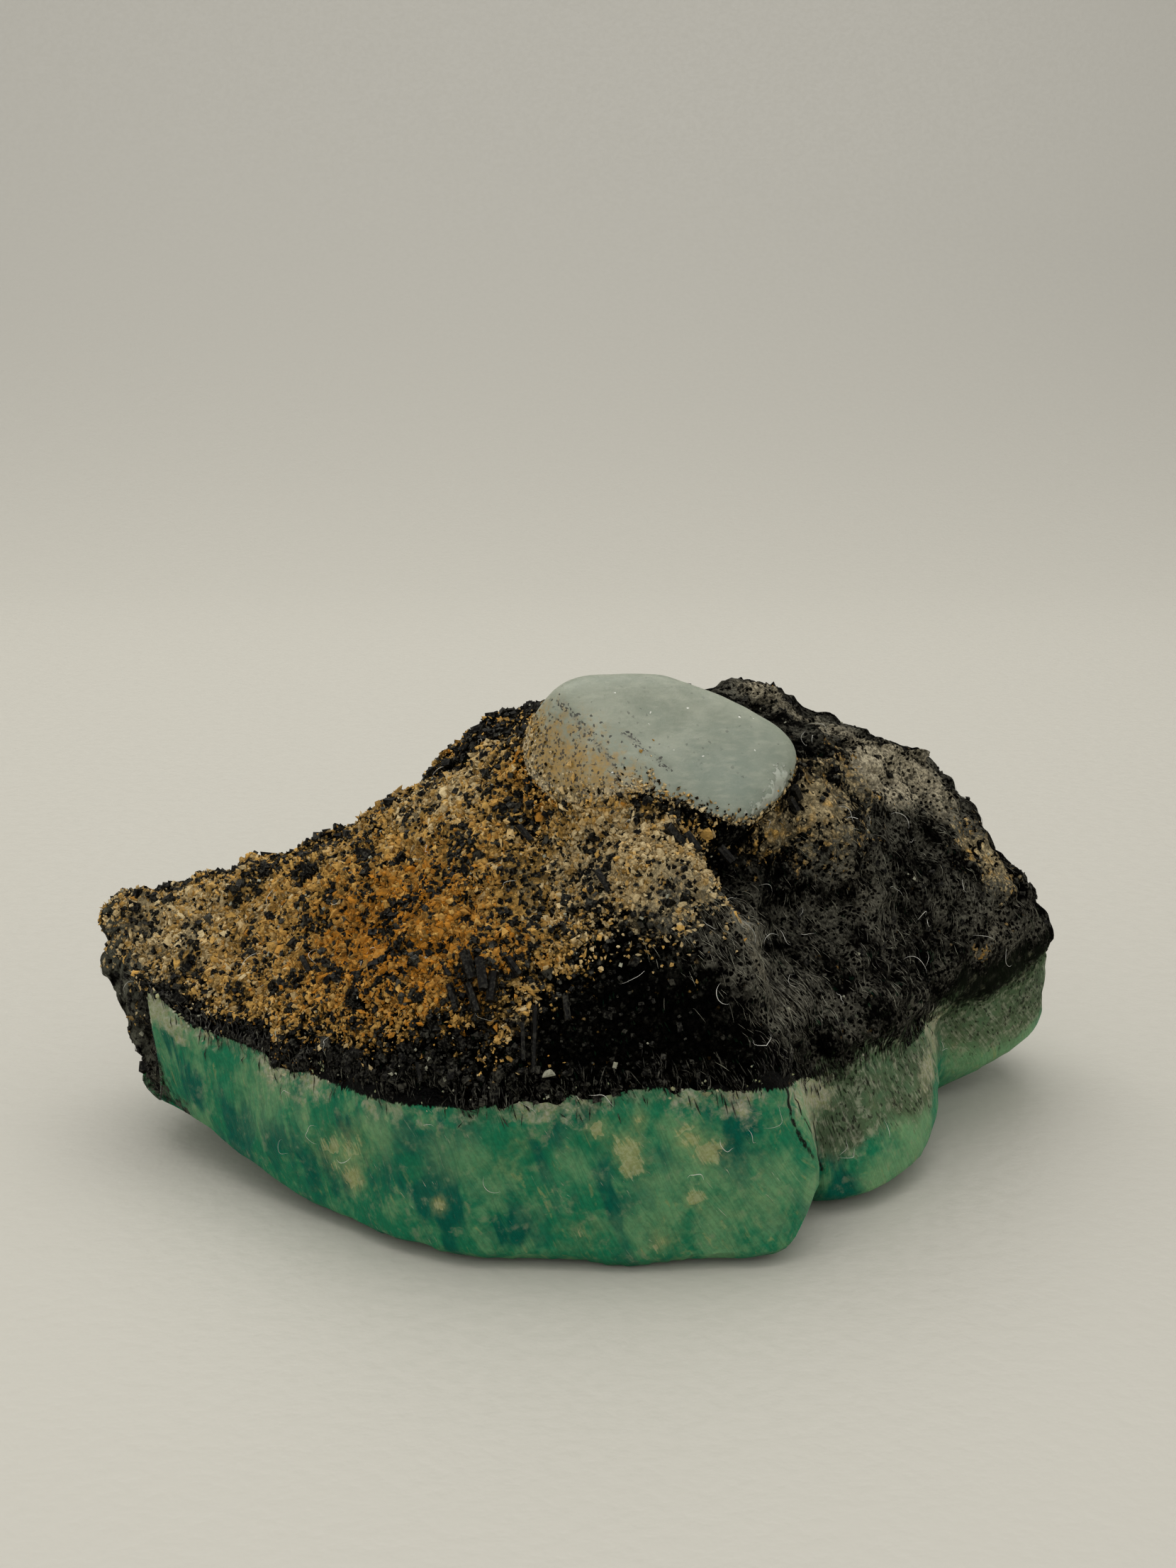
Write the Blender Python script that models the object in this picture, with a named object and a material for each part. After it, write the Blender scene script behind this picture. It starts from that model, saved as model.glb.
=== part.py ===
"""Amazonite with tourmaline: a hand-sized piece of rough, 69 mm long, lying on its flat bed.

Three minerals grown together make the stone, and each is one closed solid:
  amazonite_slab      the green band at the bottom, cleaved flat at the front and lobed at the right
  tourmaline_matrix   the dark, grainy mass that lies on the slab and wraps down over its left end
  feldspar_knob       the pale, water-smooth lump that stands out of a socket near the top

The stone is lofted from ribs. A rib is a line that climbs the stone's side, from the bed up to the
collar round the knob, and the ribs follow each other anticlockwise, seen from above, from the left tip.
Lengths are in millimetres until the meshes are made. +Z is up, -Y is the front.
"""

import bmesh
import bpy
import numpy as np

MM = 0.001

# ---------------------------------------------------------------- driving dimensions, millimetres
ORIGIN = (0.78, 4.65, 0.0)    # the spot on the bed's plane under the middle of the stone's box
GAP = 0.3                     # clearance between slab and matrix
SOCKET_GAP = 0.45             # and between the knob's faces and its socket, twice that at the bottom
KNOB_CLEARANCE = 0.8          # how far the rock round the socket stays off the knob

# Where each rib crosses the five contour lines of the stone: the keel (lowest outer edge), the seam
# (where green meets dark), the flank, the shoulder and the brow.
RIBS = (
    # keel                 seam                 flank                shoulder             brow
    ((-29.8, 2.0, 4.1),   (-30.2, 2.2, 4.8),   (-33.5, 4.8, 12.0),  (-32.3, 7.0, 16.4),  (-16.4, 5.0, 21.4)),
    ((-28.4, 0.0, 3.7),   (-28.7, 0.1, 4.3),   (-32.9, 3.2, 11.2),  (-31.5, 5.6, 16.6),  (-15.6, 3.2, 21.4)),
    ((-27.5, -0.8, 3.6),  (-29.3, -0.4, 11.8), (-31.0, 1.8, 13.3),  (-29.0, 4.0, 16.3),  (-14.9, 1.6, 21.1)),
    ((-25.5, -3.0, 3.4),  (-26.1, -2.4, 10.2), (-26.7, -0.6, 12.8), (-24.2, 2.6, 16.8),  (-13.8, 0.2, 21.0)),
    ((-20.8, -7.5, 2.2),  (-20.6, -7.2, 10.2), (-20.5, -5.0, 12.9), (-18.8, -1.0, 17.1), (-11.8, -1.2, 21.8)),
    ((-16.3, -11.0, 1.3), (-16.4, -10.8, 9.9), (-16.3, -8.6, 13.1), (-14.1, -5.0, 17.6), (-9.6, -3.0, 22.6)),
    ((-11.0, -15.5, 1.1), (-11.1, -15.5, 10.1),(-10.9, -13.4, 14.7),(-9.4, -9.2, 19.1),  (-6.6, -4.8, 23.7)),
    ((-6.0, -17.6, 1.1),  (-6.0, -17.4, 10.6), (-5.6, -15.2, 15.5), (-4.3, -11.2, 19.8), (-2.9, -6.4, 24.4)),
    ((0.0, -18.0, 1.1),   (-0.2, -17.4, 11.3), (-0.4, -15.8, 15.9), (0.6, -12.6, 20.2),  (0.9, -8.4, 24.5)),
    ((6.0, -18.2, 1.0),   (5.8, -17.4, 11.8),  (5.1, -16.6, 16.5),  (5.3, -14.0, 20.5),  (4.5, -9.4, 24.6)),
    ((10.8, -18.0, 0.9),  (9.9, -17.2, 11.6),  (8.8, -16.0, 16.4),  (8.0, -13.2, 20.9),  (6.3, -9.8, 24.6)),
    ((13.8, -17.0, 1.3),  (12.6, -16.2, 11.3), (11.0, -14.2, 16.0), (9.6, -11.6, 21.0),  (8.0, -9.2, 24.0)),
    ((15.7, -14.6, 4.1),  (13.6, -14.8, 10.8), (12.7, -12.0, 14.8), (11.7, -9.4, 20.0),  (10.3, -7.4, 23.3)),
    ((15.6, -11.0, 3.1),  (15.1, -10.6, 9.9),  (15.1, -9.8, 13.9),  (14.3, -6.8, 18.9),  (13.1, -5.0, 22.9)),
    ((17.0, -10.2, 1.3),  (17.0, -9.6, 8.3),   (17.4, -8.6, 13.0),  (17.2, -5.0, 18.1),  (16.0, -3.0, 22.6)),
    ((19.9, -8.8, 1.4),   (19.5, -7.4, 8.7),   (20.2, -6.2, 13.2),  (20.1, -2.6, 18.2),  (18.8, -0.4, 23.2)),
    ((23.2, -5.0, 2.0),   (22.0, -4.0, 8.9),   (22.7, -2.8, 13.0),  (22.6, 0.4, 18.5),   (20.7, 2.6, 24.1)),
    ((25.0, -0.6, 2.8),   (24.0, 0.4, 9.3),    (24.7, 0.6, 13.0),   (24.7, 3.0, 19.2),   (22.1, 5.0, 25.0)),
    ((25.6, 4.6, 3.3),    (25.3, 4.2, 8.2),    (26.4, 3.0, 12.9),   (26.6, 5.0, 19.8),   (23.1, 7.0, 25.5)),
    ((27.0, 8.2, 2.3),    (26.8, 6.6, 7.1),    (28.6, 5.0, 13.0),   (28.5, 6.8, 20.3),   (24.2, 9.0, 26.0)),
    ((30.4, 10.0, 2.7),   (30.2, 8.0, 8.1),    (31.3, 7.0, 13.3),   (30.3, 8.8, 19.4),   (25.5, 10.6, 26.2)),
    ((34.5, 13.0, 4.0),   (34.5, 10.8, 10.6),  (34.7, 10.2, 13.6),  (32.2, 10.6, 17.4),  (26.0, 12.4, 25.8)),
    ((33.6, 18.0, 4.0),   (34.0, 17.4, 9.5),   (33.5, 16.2, 13.5),  (30.2, 15.8, 18.2),  (24.9, 15.0, 26.2)),
    ((26.0, 24.0, 2.5),   (26.8, 24.2, 8.0),   (26.0, 22.8, 14.0),  (23.4, 20.5, 20.8),  (19.8, 16.0, 28.1)),
    ((12.0, 27.0, 2.0),   (12.2, 27.5, 8.0),   (12.0, 26.0, 15.0),  (11.5, 22.5, 22.8),  (13.1, 14.6, 30.3)),
    ((-2.0, 26.0, 2.0),   (-2.2, 26.5, 8.0),   (-2.0, 25.0, 15.0),  (-1.0, 21.0, 22.5),  (3.0, 14.0, 29.6)),
    ((-15.0, 21.0, 2.5),  (-15.5, 21.2, 8.0),  (-15.0, 19.8, 14.5), (-11.5, 16.8, 21.0), (-4.6, 12.4, 28.1)),
    ((-25.0, 14.0, 4.0),  (-26.0, 14.2, 7.5),  (-26.0, 13.2, 12.6), (-22.4, 11.0, 17.4), (-9.6, 9.4, 25.9)),
    ((-29.8, 7.0, 4.8),   (-30.6, 7.4, 5.7),   (-32.0, 9.2, 13.2),  (-29.7, 9.0, 16.5),  (-13.5, 6.6, 22.5)),
)
KEEL, SEAM, BROW = 0, 1, 4    # the lines that other shapes are worked out from

FACETING = 0.35               # 0 rounds the stone between its ribs, 1 leaves it flat between them
BED_CENTRE = (3.0, 3.0, 0.0)
BED_INSET = 1.6               # how far inside the keel the flat bed ends
BED_RAKE = 1.7                # and how much further for each millimetre that the keel is off the ground
JOINT_CENTRE = (4.0, 3.0, 11.0)   # the middle of the surface between slab and matrix
JOINT_BEND = 3.0              # how suddenly that surface turns up or down to meet the seam

KNOB_CENTRE = (5.8, -1.4, 28.4)
KNOB_STAND = (0.17, -0.37, 0.91)      # the direction in which the knob stands out of its socket
KNOB_FACES = (                        # where each worn face looks, and how far it is from the centre
    ((0.30, -0.62, 0.72), 3.8),       # the broad face
    ((0.10, 0.25, 0.96), 5.7),        # the top edge
    ((-0.42, 0.35, 0.84), 7.2),
    ((-0.95, 0.20, 0.20), 9.1),
    ((-0.60, -0.74, 0.30), 7.3),      # the stained flank at the front left
    ((0.10, -0.95, 0.05), 6.4),
    ((0.80, -0.60, 0.00), 8.2),
    ((0.97, 0.15, 0.10), 9.3),
    ((0.38, 0.70, 0.60), 5.3),
    ((-0.15, 0.95, 0.20), 6.2),
    ((0.00, 0.20, -1.00), 5.0),       # and three of the root
    ((-0.60, -0.20, -0.80), 7.0),
    ((0.60, -0.20, -0.80), 7.0),
)
KNOB_CRISPNESS = 9                    # higher makes sharper edges between the faces
COLLAR_TILTS = (5, 10, 14, 15, 8, 0, -6, 16, 10, -2)   # degrees above the knob's middle, every 36 degrees

# Lumps and hollows of the dark mass: centre, reach and rise; a hollow's rise is negative.
SWELLS = (
    ((13.0, 12.5, 31.5), 3.0, 0.8),      # crest behind the knob
    ((-5.0, 12.0, 28.0), 4.0, 0.7),      # rear hump left of the knob
    ((5.8, -10.4, 24.8), 2.4, 1.0),      # crumbly hump below the knob
    ((10.4, -8.4, 22.6), 2.0, -1.6),     # pit under the knob's right corner
    ((15.5, -6.0, 19.5), 4.5, -1.2),     # hollow to the right of the front ridge
    ((18.6, -1.0, 23.6), 2.8, 0.7),      # lip of the shelf right of the knob
    ((-21.0, 3.0, 19.0), 7.0, -0.5),     # dished left slope
    ((21.0, 22.0, 15.0), 5.0, 1.0),      # ledge at the back right
    ((-14.0, 18.0, 17.0), 6.0, -1.2),    # scar of a break at the back left
    ((5.0, 24.0, 19.0), 5.0, 0.9),       # hump at the back
    ((2.0, 26.0, 10.0), 5.0, -0.9),      # and the hollow below it
    ((3.2, -10.6, 23.8), 2.4, 1.3),      # the front ridge, from the hump down to the seam
    ((7.6, -11.6, 22.8), 2.0, 0.9),
    ((10.0, -12.2, 20.2), 1.8, 0.9),
    ((11.4, -13.0, 17.6), 1.8, 0.8),
    ((12.8, -13.6, 14.6), 1.8, 0.6),
    ((5.0, -15.6, 16.4), 3.4, -1.1),     # the black face left of that ridge
    ((-4.8, -13.2, 18.2), 2.2, 0.9),     # knot of crystals on the slope, and the dip above it
    ((-2.4, -9.4, 22.2), 2.2, -1.0),
    ((10.6, -7.2, 23.8), 1.6, -1.6),     # deepest part of the pit
    ((14.4, -2.8, 26.6), 1.3, -0.9),     # notch beside the knob
    ((17.6, -1.2, 25.2), 2.4, 0.7),      # the shelf's front edge
    ((16.4, -5.4, 18.6), 3.6, -1.1),     # undercut below the shelf
    ((23.0, 1.4, 16.6), 3.4, -0.7),
    ((22.0, -1.6, 20.6), 1.8, 0.5),
    ((34.8, 11.0, 13.6), 3.0, -0.5),     # flattened right end
    ((-32.2, 3.4, 9.2), 3.0, 0.5),       # belly of the left flank
)
# Size, height and seed of each size of lump; the slab's cleaved sides keep a share of the height.
LUMPS = ((11.0, 1.0, 1), (5.5, 0.7, 2), (2.9, 0.4, 3))
SLAB_LUMPS = 0.3

STATIONS = 114                # steps round the stone
BED_ROWS, UNDER_ROWS, FACE_ROWS, JOINT_ROWS = 3, 2, 5, 4
MATRIX_ROWS = (3, 4, 4, 4)    # seam to flank, flank to shoulder, shoulder to brow, brow to collar
SOCKET_ROWS = 6
KNOB_SUBDIVISIONS = 4
LENGTH_SAMPLES = 40           # samples between two ribs, where the way round the stone is measured
SLAB_FADE_ROWS = 4            # rows above the seam over which the lumps reach their full height
LEAST_LIFT = 0.2              # how far everything but the bed's rim stays off the bed's plane
CREASE = np.radians(50)       # edges sharper than this stay crisp

# ---------------------------------------------------------------- colour and roughness of the minerals
AMAZONITE = ((0.05, 0.24, 0.14), 0.4)
TOURMALINE = ((0.06, 0.045, 0.03), 0.85)
FELDSPAR = ((0.28, 0.31, 0.24), 0.35)


# ---------------------------------------------------------------- curves and noise
def spline(points, at, closed):
    """Points read along a curve through `points`, at the positions `at` in steps from point to point.
    It is a Catmull-Rom curve, drawn part of the way towards straight lines by FACETING."""
    count = len(points)
    step = np.clip(np.floor(at).astype(int), 0, count - (1 if closed else 2))
    t = (at - step).reshape(-1, *[1] * (points.ndim - 1))

    def knot(offset):
        index = step + offset
        return points[index % count if closed else np.clip(index, 0, count - 1)]

    before, start, end, after = knot(-1), knot(0), knot(1), knot(2)
    curve = start + 0.5 * t * (
        end - before
        + t * (2 * before - 5 * start + 4 * end - after + t * (3 * (start - end) + after - before))
    )
    return curve * (1 - FACETING) + (start + (end - start) * t) * FACETING


def lattice_noise(points, size, seed):
    """Smooth noise from -1 to 1: a random number at each corner of a cubic lattice, blended between."""
    place = points / size + 100.0
    corner = np.floor(place).astype(np.int64)
    share = place - corner
    share = share * share * (3 - 2 * share)
    total = np.zeros(points.shape[:-1])
    for offset in np.ndindex(2, 2, 2):
        x, y, z = np.moveaxis(corner + offset, -1, 0)
        mixed = (x * 73856093) ^ (y * 19349663) ^ (z * 83492791) ^ (seed * 50331653)
        mixed = ((mixed ^ (mixed >> 13)) * 1274126177) & 0xFFFFFFFF
        mixed ^= mixed >> 16
        weight = np.prod(np.where(offset, share, 1 - share), axis=-1)
        total += weight * ((mixed & 0xFFFF) / 32767.5 - 1)
    return total


def smooth_step(x):
    x = np.clip(x, 0, 1)
    return x * x * (3 - 2 * x)


# ---------------------------------------------------------------- the outer skin
def knob_axes():
    """Unit vectors of the knob: to the right across it, to the back across it, and out of its socket."""
    out = np.array(KNOB_STAND) / np.linalg.norm(KNOB_STAND)
    right = np.array((1.0, 0, 0)) - out * out[0]
    right /= np.linalg.norm(right)
    return right, np.cross(out, right), out


def knob_point(direction, grow=0.0):
    """Where a line from the knob's centre leaves it. The knob is the soft overlap of its faces' half
    spaces: each face holds the line back by its slant over its distance, and a power mean joins them."""
    looks = np.array([look / np.linalg.norm(look) for look, _ in KNOB_FACES])
    hold = np.maximum(direction @ looks.T, 0) / np.array([distance + grow for _, distance in KNOB_FACES])
    reach = (hold**KNOB_CRISPNESS).sum(axis=-1) ** (-1 / KNOB_CRISPNESS)
    return np.array(KNOB_CENTRE) + direction * reach[..., None]


def socket_ring(turn, tilt, gap=SOCKET_GAP):
    """A ring a gap away from the knob: `turn` is the angle round its axis, `tilt` the height above its
    middle as an angle."""
    right, back, out = knob_axes()
    across = np.outer(np.cos(turn), right) + np.outer(np.sin(turn), back)
    direction = across * np.cos(tilt)[:, None] + np.outer(np.sin(tilt), out)
    return knob_point(direction, grow=gap)


def collar_angles(brow):
    """Turn and tilt of the collar's points. Each lies on the side of the knob where its rib comes up."""
    right, back, _ = knob_axes()
    offset = brow - np.array(KNOB_CENTRE)
    turn = np.arctan2(offset @ back, offset @ right)
    tilts = np.radians(np.array(COLLAR_TILTS, dtype=float))[:, None]
    step = turn % (2 * np.pi) / (2 * np.pi) * len(tilts)
    return turn, spline(tilts, step, closed=True)[:, 0]


def even_positions(rings, count):
    """Rib positions that divide closed rings of rib points into equal steps, by their summed length."""
    fine = np.linspace(0, rings.shape[1], LENGTH_SAMPLES * rings.shape[1] + 1)
    lines = [spline(ring, fine % len(ring), closed=True) for ring in rings]
    step = sum(np.linalg.norm(np.diff(line, axis=0), axis=1) for line in lines)
    run = np.concatenate([[0], np.cumsum(step)])
    return np.interp(np.arange(count) * run[-1] / count, run, fine)


def normals_of(skin):
    """Outward unit normals of a grid of points, whose rows are closed rings from bottom to top."""
    around = np.roll(skin, -1, axis=1) - np.roll(skin, 1, axis=1)
    upward = np.gradient(skin, axis=0)
    normal = np.cross(around, upward)
    return normal / np.maximum(np.linalg.norm(normal, axis=-1, keepdims=True), 1e-9)


def outer_skin():
    """Rows of points from the rim of the bed up to the collar, the row that lies on the seam, and the
    turn and tilt of the collar's points round the knob."""
    ribs = np.array(RIBS)
    at = even_positions(np.array([ribs[:, SEAM], ribs[:, BROW]]), STATIONS)
    rings = [spline(ribs[:, level], at, closed=True) for level in range(ribs.shape[1])]
    keel, brow = rings[KEEL], rings[BROW]
    inward = np.array(BED_CENTRE) - keel
    inward[:, 2] = 0
    inward /= np.linalg.norm(inward, axis=1, keepdims=True)
    rim = keel + inward * (BED_INSET + BED_RAKE * keel[:, 2:])
    rim[:, 2] = 0
    turn, tilt = collar_angles(brow)
    levels = np.array([rim, *rings, socket_ring(turn, tilt)])

    rows = (UNDER_ROWS, FACE_ROWS, *MATRIX_ROWS)
    heights = np.concatenate([level + np.arange(count) / count for level, count in enumerate(rows)])
    skin = spline(levels, np.append(heights, len(rows)), closed=False)
    skin[0, :, 2] = 0
    return roughened(skin), UNDER_ROWS + FACE_ROWS, turn, tilt


def roughened(skin):
    """The skin moved along its normals by the swells and the lumps. The bed's rim and the collar stay."""
    push = np.zeros(skin.shape[:-1])
    for centre, reach, rise in SWELLS:
        distance = np.linalg.norm(skin - np.array(centre), axis=-1)
        push += rise * np.exp(-((distance / reach) ** 2))
    for size, height, seed in LUMPS:
        push += height * lattice_noise(skin, size, seed)
    rows = np.arange(len(skin))[:, None]
    seam = UNDER_ROWS + FACE_ROWS
    push *= SLAB_LUMPS + (1 - SLAB_LUMPS) * smooth_step((rows - seam + 1) / SLAB_FADE_ROWS)
    push *= smooth_step(rows / UNDER_ROWS) * smooth_step((len(skin) - 1 - rows) / MATRIX_ROWS[-1])
    skin = skin + normals_of(skin) * push[..., None]
    skin[1:, :, 2] = np.maximum(skin[1:, :, 2], LEAST_LIFT)
    skin[:-1] = outside_knob(skin[:-1])
    return skin


def outside_knob(points):
    """The points, with those in the knob or close to it moved straight out from its middle."""
    offset = points - np.array(KNOB_CENTRE)
    away = np.linalg.norm(offset, axis=-1, keepdims=True)
    surface = knob_point(offset / away, grow=KNOB_CLEARANCE)
    inside = away < np.linalg.norm(surface - np.array(KNOB_CENTRE), axis=-1, keepdims=True)
    return np.where(inside, surface, points)


# ---------------------------------------------------------------- solids from rows of points
def disc_rows(ring, centre, count, bend):
    """Rings that shrink from `ring` towards `centre`, the ring itself left out. Their height runs to
    the centre's by a power `bend`, so that an uneven rim flattens out inwards."""
    centre = np.array(centre)
    rows = []
    for share in np.arange(count - 1, 0, -1) / count:
        row = centre + (ring - centre) * share
        row[:, 2] = centre[2] + (ring[:, 2] - centre[2]) * share**bend
        rows.append(row)
    return rows


def closed_mesh(name, rows, low_pole, high_pole, mineral):
    """A closed mesh over rings of points, bottom to top, with a fan of triangles to a pole at each end."""
    count = len(rows[0])
    points = (np.concatenate([[low_pole], *rows, [high_pole]]) - ORIGIN) * MM
    first = 1 + count * np.arange(len(rows))
    here = np.arange(count)
    beside = (here + 1) % count
    quads = [
        np.stack([start + here, start + beside, start + count + beside, start + count + here], axis=1)
        for start in first[:-1]
    ]
    faces = [face for quad in quads for face in quad.tolist()]
    faces += [[0, 1 + b, 1 + a] for a, b in zip(here.tolist(), beside.tolist())]
    last = int(first[-1])
    faces += [[len(points) - 1, last + a, last + b] for a, b in zip(here.tolist(), beside.tolist())]

    mesh = bpy.data.meshes.new(name)
    mesh.from_pydata(points.tolist(), [], faces)
    mesh.materials.append(plain_material(name, *mineral))
    mesh.shade_smooth()
    mesh.set_sharp_from_angle(angle=CREASE)
    return bpy.data.objects.new(name, mesh)


def plain_material(name, colour, roughness):
    """A material of the mineral's colour all over."""
    material = bpy.data.materials.new(name)
    material.use_nodes = True
    shader = material.node_tree.nodes["Principled BSDF"]
    shader.inputs["Base Color"].default_value = (*colour, 1.0)
    shader.inputs["Roughness"].default_value = roughness
    shader.inputs["Metallic"].default_value = 0.0
    return material


def joint_rows(seam_ring):
    """The surface inside the stone between slab and matrix, as rings from its middle out to the seam."""
    return np.array([*reversed(disc_rows(seam_ring, JOINT_CENTRE, JOINT_ROWS, bend=JOINT_BEND)), seam_ring])


def amazonite_slab(skin, seam):
    bed = [row for row in reversed(disc_rows(skin[0], BED_CENTRE, BED_ROWS, bend=1.0))]
    rows = [*bed, *skin[: seam + 1], *joint_rows(skin[seam])[-2::-1]]
    return closed_mesh("amazonite_slab", rows, BED_CENTRE, JOINT_CENTRE, AMAZONITE)


def tourmaline_matrix(skin, seam, turn, tilt):
    joint = joint_rows(skin[seam])
    under = joint - normals_of(joint) * GAP
    sinks = np.arange(1, SOCKET_ROWS + 1) / (SOCKET_ROWS + 1)
    socket = [
        socket_ring(turn, tilt + (-np.pi / 2 - tilt) * sink, gap=SOCKET_GAP * (1 + sink)) for sink in sinks
    ]
    low_pole = np.array(JOINT_CENTRE) + (0, 0, GAP)
    socket_floor = knob_point(-knob_axes()[2][None], grow=2 * SOCKET_GAP)[0]
    rows = [*under, *skin[seam + 1:], *socket]
    return closed_mesh("tourmaline_matrix", rows, low_pole, socket_floor, TOURMALINE)


def feldspar_knob():
    """A pebble: a sphere's points sent out to the knob's worn faces."""
    mesh = bpy.data.meshes.new("feldspar_knob")
    ball = bmesh.new()
    bmesh.ops.create_icosphere(ball, subdivisions=KNOB_SUBDIVISIONS, radius=1.0)
    for vert in ball.verts:
        vert.co = (knob_point(np.array([vert.co.normalized()]))[0] - ORIGIN) * MM
    ball.to_mesh(mesh)
    ball.free()
    mesh.materials.append(plain_material("feldspar_knob", *FELDSPAR))
    mesh.shade_smooth()
    return bpy.data.objects.new("feldspar_knob", mesh)


def main():
    for old in list(bpy.data.objects):
        bpy.data.objects.remove(old)
    stone = bpy.data.collections.new("amazonite_with_tourmaline")
    bpy.context.scene.collection.children.link(stone)
    skin, seam, turn, tilt = outer_skin()
    for piece in (amazonite_slab(skin, seam), tourmaline_matrix(skin, seam, turn, tilt), feldspar_knob()):
        stone.objects.link(piece)


main()
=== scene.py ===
import functools
from collections import namedtuple

import bmesh
import bpy
import numpy as np
from bpy.props import FloatProperty, FloatVectorProperty, IntProperty, PointerProperty
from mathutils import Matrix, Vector


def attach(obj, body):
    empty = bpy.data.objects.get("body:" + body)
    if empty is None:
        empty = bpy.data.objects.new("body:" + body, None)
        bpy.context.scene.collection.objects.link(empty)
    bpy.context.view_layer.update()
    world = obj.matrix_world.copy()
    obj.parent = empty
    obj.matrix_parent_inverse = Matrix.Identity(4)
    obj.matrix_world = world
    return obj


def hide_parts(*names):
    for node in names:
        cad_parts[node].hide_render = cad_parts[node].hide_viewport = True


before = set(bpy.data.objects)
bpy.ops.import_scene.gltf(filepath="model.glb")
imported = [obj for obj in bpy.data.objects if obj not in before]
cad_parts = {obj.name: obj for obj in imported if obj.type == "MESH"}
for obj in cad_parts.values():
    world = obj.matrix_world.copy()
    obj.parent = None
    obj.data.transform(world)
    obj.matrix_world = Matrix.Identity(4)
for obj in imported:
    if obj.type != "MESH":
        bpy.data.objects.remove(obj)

# Amazonite with tourmaline: the finished surfaces of the stone, with its grains, needles and fibres.
# Lengths are in millimetres until the meshes are made. +Z is up, -Y is the front. Every place is given
# in the stone's own measure, whose origin is moved to the middle of the bed as the meshes are made.

bl_info = {
    "name": "Amazonite with tourmaline",
    "version": (1, 0, 0),
    "blender": (4, 5, 0),
    "location": "3D View > Sidebar > Stone",
    "description": "Builds a rough stone of amazonite, tourmaline rock and feldspar on a pale stage",
    "category": "Object",
}

MM = 0.001
BODY = "root"
ORIGIN = (0.78, 4.65, 0.0)    # the spot on the bed's plane under the middle of the stone's box

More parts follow.
